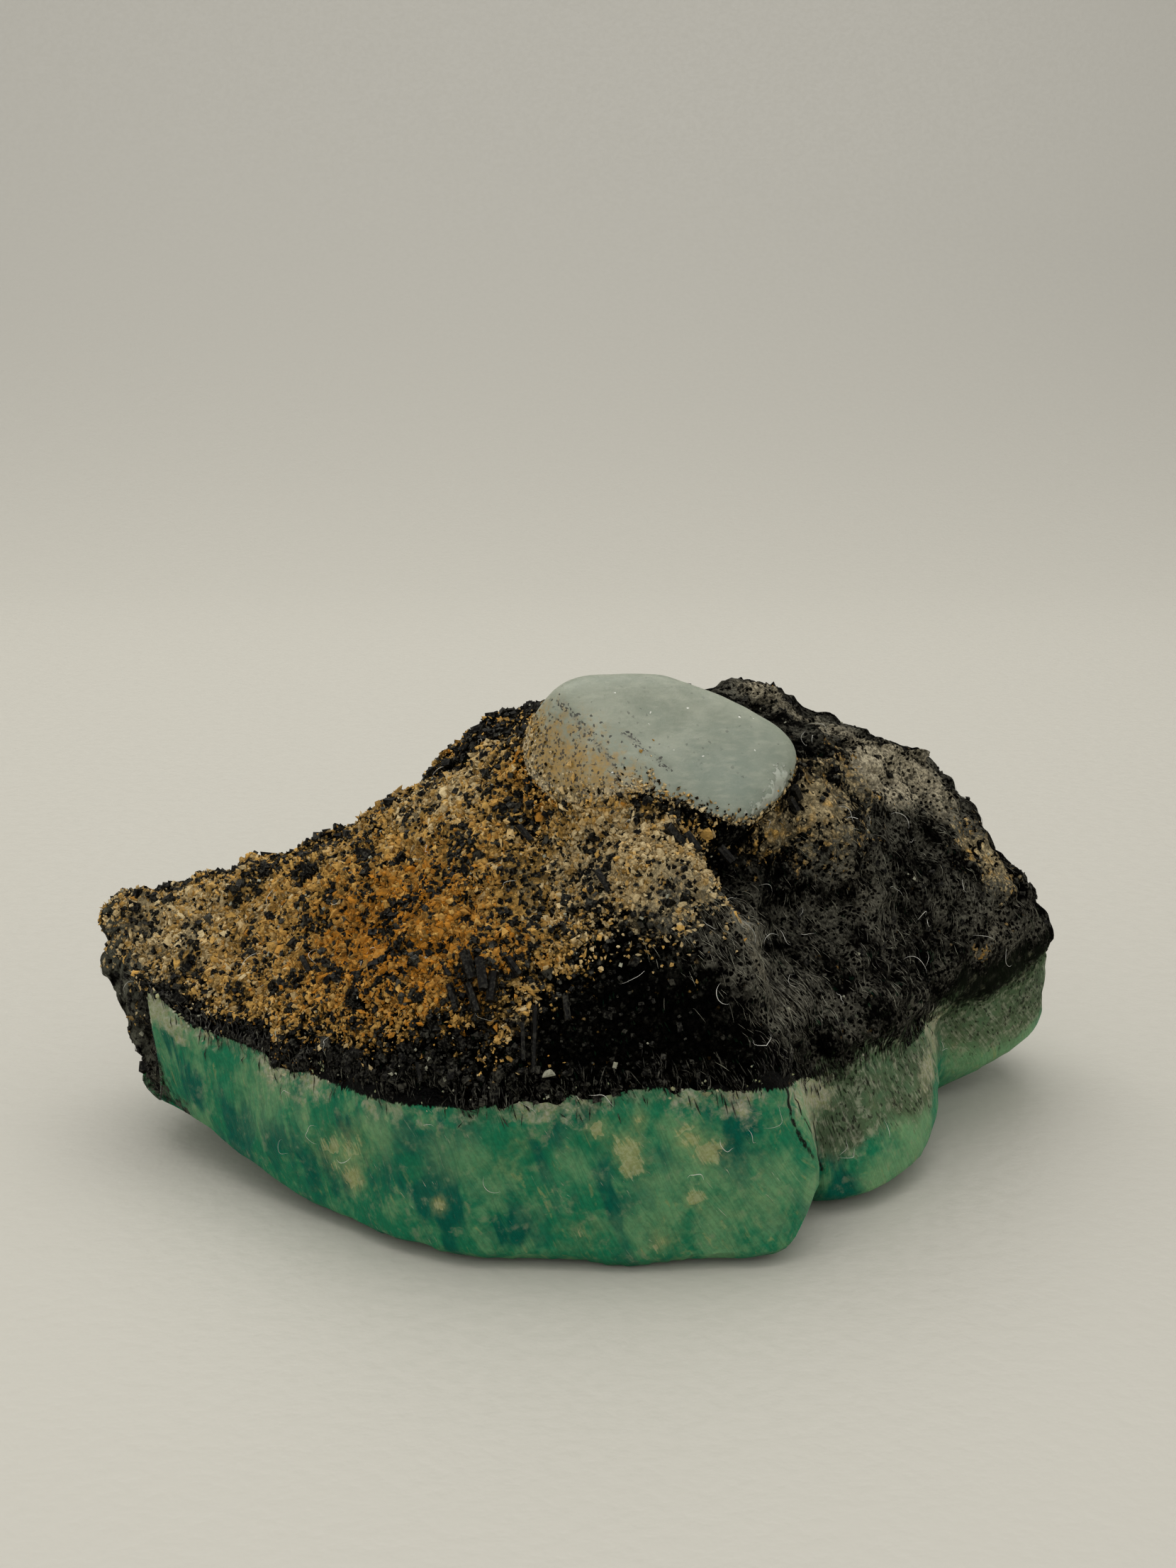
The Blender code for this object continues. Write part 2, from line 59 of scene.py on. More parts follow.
# ---------------------------------------------------------------- the stone's main shape
# Where each rib crosses the five contour lines of the stone: the keel (lowest outer edge), the seam
# (where green meets dark), the flank, the shoulder and the brow. Ribs go anticlockwise, from the left tip.
RIBS = (
    # keel                 seam                 flank                shoulder             brow
    ((-29.8, 2.0, 4.1),   (-30.2, 2.2, 4.8),   (-33.5, 4.8, 12.0),  (-32.3, 7.0, 16.4),  (-16.4, 5.0, 21.4)),
    ((-28.4, 0.0, 3.7),   (-28.7, 0.1, 4.3),   (-32.9, 3.2, 11.2),  (-31.5, 5.6, 16.6),  (-15.6, 3.2, 21.4)),
    ((-27.5, -0.8, 3.6),  (-29.3, -0.4, 11.8), (-31.0, 1.8, 13.3),  (-29.0, 4.0, 16.3),  (-14.9, 1.6, 21.1)),
    ((-25.5, -3.0, 3.4),  (-26.1, -2.4, 10.2), (-26.7, -0.6, 12.8), (-24.2, 2.6, 16.8),  (-13.8, 0.2, 21.0)),
    ((-20.8, -7.5, 2.2),  (-20.6, -7.2, 10.2), (-20.5, -5.0, 12.9), (-18.8, -1.0, 17.1), (-11.8, -1.2, 21.8)),
    ((-16.3, -11.0, 1.3), (-16.4, -10.8, 9.9), (-16.3, -8.6, 13.1), (-14.1, -5.0, 17.6), (-9.6, -3.0, 22.6)),
    ((-11.0, -15.5, 1.1), (-11.1, -15.5, 10.1),(-10.9, -13.4, 14.7),(-9.4, -9.2, 19.1),  (-6.6, -4.8, 23.7)),
    ((-6.0, -17.6, 1.1),  (-6.0, -17.4, 10.6), (-5.6, -15.2, 15.5), (-4.3, -11.2, 19.8), (-2.9, -6.4, 24.4)),
    ((0.0, -18.0, 1.1),   (-0.2, -17.4, 11.3), (-0.4, -15.8, 15.9), (0.6, -12.6, 20.2),  (0.9, -8.4, 24.5)),
    ((6.0, -18.2, 1.0),   (5.8, -17.4, 11.8),  (5.1, -16.6, 16.5),  (5.3, -14.0, 20.5),  (4.5, -9.4, 24.6)),
    ((10.8, -18.0, 0.9),  (9.9, -17.2, 11.6),  (8.8, -16.0, 16.4),  (8.0, -13.2, 20.9),  (6.3, -9.8, 24.6)),
    ((13.8, -17.0, 1.3),  (12.6, -16.2, 11.3), (11.0, -14.2, 16.0), (9.6, -11.6, 21.0),  (8.0, -9.2, 24.0)),
    ((15.7, -14.6, 4.1),  (13.6, -14.8, 10.8), (12.7, -12.0, 14.8), (11.7, -9.4, 20.0),  (10.3, -7.4, 23.3)),
    ((15.6, -11.0, 3.1),  (15.1, -10.6, 9.9),  (15.1, -9.8, 13.9),  (14.3, -6.8, 18.9),  (13.1, -5.0, 22.9)),
    ((17.0, -10.2, 1.3),  (17.0, -9.6, 8.3),   (17.4, -8.6, 13.0),  (17.2, -5.0, 18.1),  (16.0, -3.0, 22.6)),
    ((19.9, -8.8, 1.4),   (19.5, -7.4, 8.7),   (20.2, -6.2, 13.2),  (20.1, -2.6, 18.2),  (18.8, -0.4, 23.2)),
    ((23.2, -5.0, 2.0),   (22.0, -4.0, 8.9),   (22.7, -2.8, 13.0),  (22.6, 0.4, 18.5),   (20.7, 2.6, 24.1)),
    ((25.0, -0.6, 2.8),   (24.0, 0.4, 9.3),    (24.7, 0.6, 13.0),   (24.7, 3.0, 19.2),   (22.1, 5.0, 25.0)),
    ((25.6, 4.6, 3.3),    (25.3, 4.2, 8.2),    (26.4, 3.0, 12.9),   (26.6, 5.0, 19.8),   (23.1, 7.0, 25.5)),
    ((27.0, 8.2, 2.3),    (26.8, 6.6, 7.1),    (28.6, 5.0, 13.0),   (28.5, 6.8, 20.3),   (24.2, 9.0, 26.0)),
    ((30.4, 10.0, 2.7),   (30.2, 8.0, 8.1),    (31.3, 7.0, 13.3),   (30.3, 8.8, 19.4),   (25.5, 10.6, 26.2)),
    ((34.5, 13.0, 4.0),   (34.5, 10.8, 10.6),  (34.7, 10.2, 13.6),  (32.2, 10.6, 17.4),  (26.0, 12.4, 25.8)),
    ((33.6, 18.0, 4.0),   (34.0, 17.4, 9.5),   (33.5, 16.2, 13.5),  (30.2, 15.8, 18.2),  (24.9, 15.0, 26.2)),
    ((26.0, 24.0, 2.5),   (26.8, 24.2, 8.0),   (26.0, 22.8, 14.0),  (23.4, 20.5, 20.8),  (19.8, 16.0, 28.1)),
    ((12.0, 27.0, 2.0),   (12.2, 27.5, 8.0),   (12.0, 26.0, 15.0),  (11.5, 22.5, 22.8),  (13.1, 14.6, 30.3)),
    ((-2.0, 26.0, 2.0),   (-2.2, 26.5, 8.0),   (-2.0, 25.0, 15.0),  (-1.0, 21.0, 22.5),  (3.0, 14.0, 29.6)),
    ((-15.0, 21.0, 2.5),  (-15.5, 21.2, 8.0),  (-15.0, 19.8, 14.5), (-11.5, 16.8, 21.0), (-4.6, 12.4, 28.1)),
    ((-25.0, 14.0, 4.0),  (-26.0, 14.2, 7.5),  (-26.0, 13.2, 12.6), (-22.4, 11.0, 17.4), (-9.6, 9.4, 25.9)),
    ((-29.8, 7.0, 4.8),   (-30.6, 7.4, 5.7),   (-32.0, 9.2, 13.2),  (-29.7, 9.0, 16.5),  (-13.5, 6.6, 22.5)),
)
KEEL, SEAM, FLANK, BROW, COLLAR = 1, 2, 3, 5, 6   # a rib's levels, from 0 at the bed's rim; 4 is the shoulder
ROWS = (5, 34, 12, 18, 44, 36)    # rows of points in each span from one level to the next
BACK_FROM, BACK_SHARE = 14.0, 0.55    # past this Y, the stone has this share of the front's stations
FACETING = 0.35               # 0 rounds the stone between its ribs, 1 leaves it flat between them
BED_CENTRE = (3.0, 3.0, 0.0)
BED_INSET = 1.6               # how far inside the keel the flat bed ends
BED_RAKE = 1.7                # and how much further for each millimetre that the keel is off the ground
LOWEST = 0.05                 # how far the rest of the surface stays above the bed
JOINT_CENTRE = (4.0, 3.0, 11.0)   # rock and slab part inside the stone, from the seam in to this point,
JOINT_BEND = 3.0                  # at heights that go by this power of the share of the way out
JOINT_GAP = 0.3                   # and the slab's side of the joint ends this much lower
SLAB_TOP = (*JOINT_CENTRE[:2], JOINT_CENTRE[2] - JOINT_GAP)

KNOB_CENTRE = (5.8, -1.4, 28.4)
KNOB_STAND = (0.17, -0.37, 0.91)      # the way it stands out of the rock
KNOB_FACES = (                        # where each worn face looks, and how far it is from the centre
    ((0.30, -0.62, 0.72), 3.8), ((0.10, 0.25, 0.96), 5.7), ((-0.42, 0.35, 0.84), 7.2),
    ((-0.95, 0.20, 0.20), 9.1), ((-0.60, -0.74, 0.30), 7.3), ((0.10, -0.95, 0.05), 6.4),
    ((0.80, -0.60, 0.00), 8.2), ((0.97, 0.15, 0.10), 9.3), ((0.38, 0.70, 0.60), 5.3),
    ((-0.15, 0.95, 0.20), 6.2), ((0.00, 0.20, -1.00), 5.0), ((-0.60, -0.20, -0.80), 7.0),
    ((0.60, -0.20, -0.80), 7.0),
)
KNOB_CRISPNESS = 9            # how sharply its faces meet
COLLAR_TILTS = (5, 10, 14, 15, 8, 0, -6, 16, 10, -2)   # degrees above the knob's middle, every 36 degrees
COLLAR_SINK, SOCKET_SINK = 0.1, 0.6   # how far inside the knob the collar's edge and the socket's floor lie
KNOB_CLEARANCE = 0.12         # how far the rock below the collar's edge keeps off the knob

# Lumps and hollows: centre, reach and rise; a hollow's rise is negative.
SWELLS = (
    ((13.0, 12.5, 31.5), 3.0, 0.8), ((-5.0, 12.0, 28.0), 4.0, 0.7), ((5.8, -10.4, 24.8), 2.4, 1.0),
    ((10.4, -8.4, 22.6), 2.0, -1.6), ((15.5, -6.0, 19.5), 4.5, -1.2), ((18.6, -1.0, 23.6), 2.8, 0.7),
    ((-21.0, 3.0, 19.0), 7.0, -0.5), ((21.0, 22.0, 15.0), 5.0, 1.0), ((-14.0, 18.0, 17.0), 6.0, -1.2),
    ((5.0, 24.0, 19.0), 5.0, 0.9), ((2.0, 26.0, 10.0), 5.0, -0.9), ((3.2, -10.6, 23.8), 2.4, 1.3),
    ((7.6, -11.6, 22.8), 2.0, 0.9), ((10.0, -12.2, 20.2), 1.8, 0.9), ((11.4, -13.0, 17.6), 1.8, 0.8),
    ((12.8, -13.6, 14.6), 1.8, 0.6), ((5.0, -15.6, 16.4), 3.4, -1.1), ((-4.8, -13.2, 18.2), 2.2, 0.9),
    ((-2.4, -9.4, 22.2), 2.2, -1.0), ((10.6, -7.2, 23.8), 1.6, -1.6), ((14.4, -2.8, 26.6), 1.3, -0.9),
    ((17.6, -1.2, 25.2), 2.4, 0.7), ((16.4, -5.4, 18.6), 3.6, -1.1), ((23.0, 1.4, 16.6), 3.4, -0.7),
    ((22.0, -1.6, 20.6), 1.8, 0.5), ((34.8, 11.0, 13.6), 3.0, -0.5), ((-32.2, 3.4, 9.2), 3.0, 0.5),
)
# Noises are given by layers, each with its size, rise and seed.
LUMPS = ((11.0, 1.0, 1), (5.5, 0.7, 2), (2.9, 0.4, 3))
SLAB_LUMPS = 0.3              # the share of the lumps that the slab has
# The lumps fade out towards the bed's rim, the slab's faces and the collar, by these steps per level.
FADE_STEPS = (0, 2, 7, 10, 14, 18, 22)

SEAM_WAVER = ((3.2, 0.75, 21), (1.3, 0.5, 22), (0.7, 0.3, 23))
SPAN_BELOW_SEAM, SPAN_ABOVE_SEAM = 9, 4   # about how long the spans on either side of it are
ROCK_CRUMBS = ((1.9, 0.42, 31), (1.05, 0.30, 32), (0.62, 0.16, 33))
FOLD_DEPTH, PIT_DEPTH, STREAK_DEPTH = 0.35, 0.9, 0.3
ROCK_SINK = 0.25              # how far the rock, but for its lobes, lies inside the coarse shape
SLAB_GRAIN = ((1.1, 0.05, 43), (0.6, 0.03, 44))
STAIR_RISE, CHIP_DEPTH, LEDGE_DEPTH = 0.1, 0.55, 0.16
CRACK_WIDTH = 0.2
CRACK_DEPTH = 0.06            # of the cracks across the knob
KNOB_WAVES = ((3.0, 0.12, 61), (1.2, 0.05, 62))
KNOB_CHIPS, BREAK_WIDTH = 0.14, 0.9   # how deep the steps of the knob's broken edge are, and its half width
SHARP_ANGLE = 55              # degrees, past which an edge of the skins is shaded as a sharp one

# ---------------------------------------------------------------- where each finish lies
# Soft round patches: centre, reach and strength, in millimetres.
OCHRE_GRAINS = (
    ((-20.0, 1.0, 15.5), 9.0, 0.95), ((-28.0, 4.0, 16.0), 5.0, 0.85), ((-31.6, 5.6, 16.4), 3.0, 0.8),
    ((-12.0, -6.0, 19.5), 8.0, 0.95), ((-8.0, -3.0, 24.5), 6.5, 0.9), ((-7.0, -12.5, 17.8), 5.0, 0.75),
    ((-2.5, -13.5, 16.5), 3.6, 0.4), ((4.0, -10.2, 23.2), 3.8, 0.95), ((7.8, -10.8, 22.8), 2.6, 0.7),
    ((0.0, -8.5, 24.0), 3.4, 0.85), ((-3.0, -11.0, 20.0), 3.4, 0.85), ((3.0, -9.0, 26.4), 2.4, 0.9),
    ((-10.0, 12.0, 22.0), 7.0, 0.5), ((8.0, 22.0, 22.0), 6.0, 0.45),
)
OCHRE_CRUST = (               # where the weathering is a close crust, with no loose grains
    ((16.0, -0.6, 25.4), 3.2, 0.95), ((19.5, 3.4, 26.0), 2.6, 0.8), ((13.4, -4.4, 24.4), 2.2, 0.9),
    ((18.6, -2.4, 23.2), 1.8, 0.5), ((29.6, 7.6, 19.6), 2.2, 0.85), ((30.8, 7.6, 17.8), 1.8, 0.7),
    ((28.0, 7.4, 21.0), 1.6, 0.6), ((29.0, 4.3, 13.2), 0.7, 0.8), ((3.6, -10.4, 24.0), 3.2, 0.95),
    ((6.6, -11.6, 23.2), 2.2, 0.85), ((-6.0, -8.6, 21.4), 3.4, 0.7), ((-9.0, -2.6, 24.6), 4.6, 0.7),
    ((24.0, 20.0, 19.0), 5.0, 0.5),
)
PALE_TAN = (                  # where the weathering is paler and greyer
    ((4.0, -10.2, 23.4), 4.4, 0.95), ((8.4, -11.6, 22.0), 3.0, 0.8), ((-0.5, -9.0, 23.2), 3.0, 0.6),
    ((-8.0, 0.5, 26.0), 5.0, 0.6), ((-29.0, 4.0, 15.0), 6.0, 0.6), ((18.0, 2.0, 25.6), 4.5, 0.85),
    ((15.2, -1.8, 25.0), 3.6, 0.8), ((29.5, 7.5, 18.8), 4.0, 1.0), ((-3.5, -14.0, 15.8), 2.6, 0.55),
)
IRON_STAIN = (                # where the ochre turns orange
    ((-10.5, -10.0, 17.8), 5.5, 0.95), ((-14.5, -5.5, 17.8), 5.0, 0.8), ((-11.0, -6.0, 20.5), 5.0, 0.75),
    ((-5.5, -12.5, 17.6), 3.2, 0.7), ((-2.5, -3.5, 28.5), 3.0, 0.7), ((-6.0, 16.0, 22.0), 6.0, 0.6),
)
FELTED_RIDGE = (              # where long grey fibres hang: the ridge at the right of the front
    ((9.6, -11.0, 21.5), 3.2, 0.75), ((11.5, -12.0, 18.0), 3.4, 0.6), ((14.0, -10.5, 14.5), 4.0, 0.5),
    ((6.5, -11.6, 22.6), 2.4, 0.5),
)
GREY_FELT = FELTED_RIDGE + (  # where a felt of fine grey fibres covers the rock
    ((24.5, 8.5, 25.0), 3.6, 0.9), ((22.4, 5.6, 25.8), 2.8, 0.9), ((21.0, 8.0, 27.4), 3.4, 0.8),
    ((13.4, 10.6, 31.0), 3.0, 0.85), ((17.4, 10.0, 29.0), 3.0, 0.8), ((19.0, -1.5, 21.5), 3.6, 0.5),
    ((20.0, -3.0, 16.0), 8.0, 0.45), ((20.4, 5.0, 26.6), 3.0, 0.6), ((27.0, 8.6, 23.0), 3.0, 0.6),
    ((-31.0, 4.0, 12.0), 4.0, 0.5), ((30.0, 5.5, 14.5), 5.0, 0.6), ((10.0, 20.0, 20.0), 12.0, 0.45),
)
BARE_FRONT = (                # bare, flat black rock over the middle of the front
    ((6.5, -16.2, 15.5), 6.0, 0.95), ((0.5, -16.5, 13.5), 4.5, 0.7),
)
BLACK_HOLLOWS = (             # black rock in the hollows at the right
    ((20.0, -3.6, 16.5), 5.5, 0.6), ((25.0, 3.0, 16.5), 4.0, 0.45),
)
BLACK_ROCK = BARE_FRONT + (   # all places where the tourmaline is deep black
    ((10.2, -7.5, 23.0), 2.4, 0.95), ((14.3, -2.6, 27.0), 1.6, 0.8),
) + BLACK_HOLLOWS
GREEN_SKIN = (                # the right lobes, where a grey film of tourmaline lies over green
    ((17.6, -9.8, 7.2), 3.4, 0.95), ((20.6, -7.2, 7.2), 3.8, 0.98), ((22.8, -4.4, 6.6), 3.2, 0.95),
    ((24.6, -0.4, 7.4), 2.2, 0.9), ((27.2, 4.8, 9.2), 3.4, 0.95), ((30.2, 6.8, 9.6), 3.9, 0.98),
    ((33.8, 10.0, 9.2), 3.8, 0.98), ((29.6, 7.4, 7.6), 3.4, 0.9), ((33.0, 9.6, 7.6), 3.2, 0.9),
)
# Milky clouds, and painted glow along the thin lower edges of the slab and right lobes, where light comes
# through.
PALE_GREEN_AND_GLOW = (                # milky clouds
    ((29.2, 8.7, 4.0), 1.9, 1.0), ((31.0, 10.0, 3.6), 1.9, 1.0), ((32.7, 10.9, 3.6), 1.7, 0.9),
    ((23.4, -3.8, 5.5), 1.7, 0.9), ((22.4, -5.6, 4.2), 1.5, 0.85), ((-5.8, -17.7, 7.0), 1.7, 0.75),
    ((-12.2, -14.9, 7.4), 1.2, 0.8), ((-17.0, -10.8, 6.5), 1.4, 0.4), ((0.2, -17.8, 7.0), 1.8, 0.6),
    ((-2.4, -17.9, 4.4), 1.6, 0.4), ((6.5, -18.0, 5.0), 2.4, 0.5), ((12.0, -17.3, 4.0), 2.8, 0.6),
    ((8.0, -18.1, 2.2), 2.0, 0.35), ((13.6, -16.8, 7.2), 1.5, 0.5), ((22.8, -5.8, 3.4), 2.6, 0.95),
    ((20.6, -8.0, 1.8), 1.6, 0.5), ((29.5, 8.6, 4.8), 3.0, 0.95), ((33.0, 11.0, 5.2), 3.0, 0.9),
    ((25.2, 2.8, 6.4), 2.2, 0.9), ((14.6, -13.4, 8.6), 1.8, 0.9), ((-24.0, -4.6, 7.6), 1.5, 0.35),
    ((-20.0, -8.2, 7.4), 3.4, 0.55), ((-12.0, -15.0, 8.2), 2.4, 0.4), ((-8.4, -17.0, 7.6), 1.6, 0.5),
    ((9.0, -17.8, 6.2), 1.6, 0.25), ((2.4, -18.1, 3.0), 1.8, 0.4), ((15.2, -15.6, 4.6), 1.2, 0.9),
    ((20.0, -8.9, 2.2), 1.4, 0.9), ((23.4, -3.8, 5.5), 1.3, 0.9),
)
DEEP_TEAL = (                 # clear dark columns
    ((-9.6, -16.4, 8.0), 1.9, 0.9), ((-8.2, -17.0, 4.4), 2.0, 0.95), ((-4.6, -17.8, 2.4), 1.8, 0.8),
    ((-1.3, -17.6, 8.4), 1.2, 0.7), ((2.7, -18.0, 4.4), 1.4, 0.75), ((2.0, -18.0, 6.6), 0.9, 0.5),
    ((9.8, -17.6, 7.2), 1.6, 0.4), ((6.0, -18.0, 7.6), 1.3, 0.4), ((10.6, -17.3, 9.2), 1.5, 0.9),
    ((8.4, -17.5, 9.8), 1.2, 0.6), ((12.0, -17.2, 8.2), 1.0, 0.6), ((-14.6, -13.0, 7.4), 1.1, 0.7),
    ((-25.6, -3.4, 6.6), 1.6, 0.6), ((-22.0, -6.4, 4.4), 2.0, 0.7), ((-18.6, -9.2, 5.2), 1.6, 0.6),
    ((-16.6, -11.2, 3.6), 1.4, 0.6), ((-27.6, -1.2, 8.6), 1.4, 0.4), ((17.4, -10.0, 5.4), 1.8, 0.8),
    ((17.6, -10.0, 1.6), 1.2, 0.9),
)
YELLOW_BLOTCHES = (           # where the clouds turn to yellowish flakes
    ((-13.8, -13.4, 4.1), 0.9, 1.0), ((-8.2, -17.1, 4.0), 0.65, 1.0), ((3.4, -17.9, 8.2), 1.0, 1.0),
    ((3.7, -17.9, 7.0), 0.9, 0.95), ((11.5, -17.4, 4.5), 4.0, 0.15), ((7.2, -17.9, 8.7), 1.0, 0.95),
    ((8.6, -17.8, 7.7), 0.9, 0.95), ((7.6, -18.0, 4.9), 0.7, 0.8), ((5.6, -18.2, 2.0), 1.1, 0.65),
    ((1.6, -17.7, 9.3), 0.9, 0.8), ((4.2, -17.6, 9.9), 0.7, 0.8), ((-2.9, -17.6, 8.7), 1.1, 0.4),
    ((-3.8, -17.7, 6.8), 1.0, 0.4), ((-13.9, -13.6, 6.2), 2.2, 0.55), ((-15.6, -12.2, 5.0), 1.8, 0.5),
    ((0.5, -18.1, 2.3), 1.8, 0.4), ((20.6, -6.6, 4.6), 1.1, 0.7), ((27.4, 7.4, 5.4), 1.4, 0.6),
)
CRUMBLED_RIM = (              # pale crumbled feldspar along the slab's top edge
    ((-28.6, -0.6, 10.2), 2.2, 1.0), ((-27.4, -1.4, 9.4), 1.4, 0.9), ((-25.0, -3.2, 9.9), 1.3, 0.7),
    ((-19.5, -8.2, 9.4), 2.0, 0.7), ((-16.6, -10.6, 9.6), 1.6, 0.8), ((-12.6, -14.4, 9.8), 1.6, 0.45),
    ((-9.0, -16.6, 9.9), 1.8, 0.3), ((-1.8, -17.6, 11.0), 1.7, 0.9), ((1.2, -17.5, 11.2), 1.4, 0.7),
    ((7.4, -17.4, 11.2), 1.4, 0.6), ((10.4, -17.0, 11.0), 1.7, 0.8), ((14.2, -14.2, 9.6), 1.8, 0.95),
    ((25.2, 4.4, 7.6), 1.5, 1.0), ((24.4, 1.2, 8.4), 1.2, 0.9), ((24.4, -1.4, 6.4), 1.0, 0.7),
)
PALE_WEDGE = (                # crumbled tan feldspar in the two clefts right of the front face
    ((14.6, -12.4, 10.0), 1.3, 1.0), ((14.9, -12.0, 8.8), 1.5, 1.0), ((15.5, -10.7, 8.7), 1.3, 1.0),
    ((16.0, -10.3, 8.0), 0.7, 1.0), ((15.3, -12.4, 7.4), 1.1, 1.0), ((15.6, -12.6, 6.0), 0.6, 0.9),
    ((25.4, 3.8, 7.0), 1.7, 1.0), ((24.6, 1.1, 8.8), 1.3, 1.0), ((24.6, -0.6, 6.6), 1.2, 1.0),
    ((23.9, -2.4, 6.2), 1.0, 0.9),
)
SLAB_CRACKS = (               # dark cracks beside that wedge
    ((13.4, -15.2, 10.8), (13.6, -15.7, 9.5), (14.3, -15.6, 7.7), (15.0, -15.2, 6.3), (15.8, -13.8, 4.6)),
    ((14.0, -14.4, 10.4), (14.3, -14.6, 9.0), (14.9, -14.2, 7.6), (15.4, -13.5, 6.7), (15.7, -13.0, 5.4)),
    ((15.6, -11.2, 7.0), (15.8, -11.2, 5.8), (15.9, -11.2, 4.8), (16.2, -10.8, 3.4)),
    ((15.9, -11.6, 6.4), (16.1, -11.4, 5.2), (16.1, -11.0, 3.8)),
)
BROWN_CRUST = (               # the dark rind over the left tip and its low edge
    ((-33.6, 5.0, 14.0), 1.8, 0.9), ((-33.2, 5.6, 16.0), 1.3, 0.8), ((-30.8, 3.0, 6.5), 2.8, 1.0),
    ((-29.2, 0.4, 4.6), 1.7, 1.0), ((-27.0, -1.6, 3.4), 1.2, 0.9), ((-33.2, 4.6, 9.8), 3.4, 1.0),
    ((-32.0, 2.6, 11.4), 1.8, 0.9),
)

# On the knob: two hairline cracks, the rusty stain, the broken edge and the bluish band, which is also
# painted shade: a darker tint over the knob's front and right.
KNOB_CRACKS = (
    ((-0.7, -3.8, 32.9), (0.4, -5.1, 31.9), (2.1, -6.7, 30.1), (2.8, -7.4, 28.9)),
    ((3.5, -5.3, 31.2), (4.6, -5.9, 30.2), (6.2, -6.3, 29.2)),
)
KNOB_STAIN = (
    ((-1.8, -4.4, 29.0), 3.0, 1.0), ((0.4, -6.0, 28.2), 2.6, 0.95), ((3.0, -7.4, 27.4), 1.9, 0.7),
    ((-2.9, -2.6, 30.2), 1.8, 0.9),
)
KNOB_BREAK = ((11.2, -7.0, 25.0), (12.6, -5.4, 26.1), (13.7, -3.4, 27.6))
KNOB_BLUE_AND_SHADE = (((10.4, -5.6, 27.8), 2.6, 0.95), ((7.6, -6.0, 28.8), 2.6, 0.6), ((12.0, -2.6, 29.4), 2.6, 0.5))

# The larger black tourmaline crystals: from, to, and radius.
TOURMALINE_RODS = (
    ((-2.2, -15.2, 16.4), (-2.3, -17.1, 12.8), 0.19),
    ((-3.0, -15.4, 15.4), (-2.9, -16.7, 13.4), 0.14),
    ((6.0, -9.6, 26.2), (7.0, -9.5, 25.0), 0.39),
    ((7.2, -9.0, 25.6), (8.0, -9.6, 24.6), 0.31),
    ((-6.7, -12.7, 19.0), (-6.1, -13.6, 17.6), 0.39),
    ((-5.7, -13.0, 18.7), (-5.4, -14.3, 17.1), 0.35),
    ((-4.8, -13.6, 18.0), (-5.0, -14.8, 16.5), 0.31),
    ((-6.4, -13.6, 17.2), (-5.8, -14.9, 15.9), 0.28),
    ((-7.6, -13.1, 17.0), (-7.1, -14.2, 15.8), 0.27),
    ((-4.0, -12.8, 18.7), (-3.2, -13.6, 17.8), 0.27),
    ((-8.2, -12.0, 18.2), (-7.6, -12.8, 17.4), 0.23),
    ((14.6, -2.6, 26.9), (15.0, -1.8, 26.0), 0.31),
    ((14.2, -3.4, 26.4), (14.7, -3.1, 25.5), 0.28),
    ((9.4, -8.0, 24.4), (10.2, -8.2, 23.5), 0.28),
    ((-9.6, -15.2, 13.4), (-9.2, -16.2, 11.8), 0.22),
    ((1.6, -9.9, 23.4), (2.4, -10.9, 22.4), 0.23),
    ((-12.2, -10.0, 17.6), (-11.6, -10.8, 16.8), 0.23),
    ((-0.4, -14.6, 16.8), (-0.2, -15.6, 15.6), 0.2),
    ((-3.4, -6.6, 25.4), (-2.6, -7.2, 24.6), 0.23),
    ((-18.0, -3.8, 15.6), (-17.4, -4.6, 14.8), 0.22),
)
ROD_SIDES, ROD_FLUTES = 12, 0.86      # every other edge of a crystal is pulled in to this share


# ---------------------------------------------------------------- curves and noise
def smooth_step(x):
    x = np.clip(x, 0, 1)
    return x * x * (3 - 2 * x)


def unit(vectors):
    return vectors / np.maximum(np.linalg.norm(vectors, axis=-1, keepdims=True), 1e-9)


def running_length(points):
    """How far each point is from the first, along the line or lines that the rows of points make."""
    step = np.linalg.norm(np.diff(points, axis=0), axis=-1)
    return np.concatenate([np.zeros_like(step[:1]), np.cumsum(step, axis=0)])


def blended(before, start, end, after, t):
    """A point between `start` and `end`: a Catmull-Rom curve drawn part of the way to a straight line."""
    curve = start + 0.5 * t * (
        end - before
        + t * (2 * before - 5 * start + 4 * end - after + t * (3 * (start - end) + after - before))
    )
    return curve * (1 - FACETING) + (start + (end - start) * t) * FACETING


def ring_points(points, at):
    """Points on a closed curve through `points`, at the positions `at` in steps from point to point."""
    step = np.floor(at).astype(int)
    t = (at - step).reshape(-1, *[1] * (points.ndim - 1))
    return blended(*(points[(step + offset) % len(points)] for offset in (-1, 0, 1, 2)), t)


def rib_points(levels, heights):
    """Points up the ribs: levels is levels x stations x 3, and heights, rows x stations, counts in levels."""
    step = np.clip(np.floor(heights).astype(int), 0, len(levels) - 2)
    t = (heights - step)[..., None]
    column = np.arange(levels.shape[1])
    knots = (levels[np.clip(step + offset, 0, len(levels) - 1), column] for offset in (-1, 0, 1, 2))
    return blended(*knots, t)


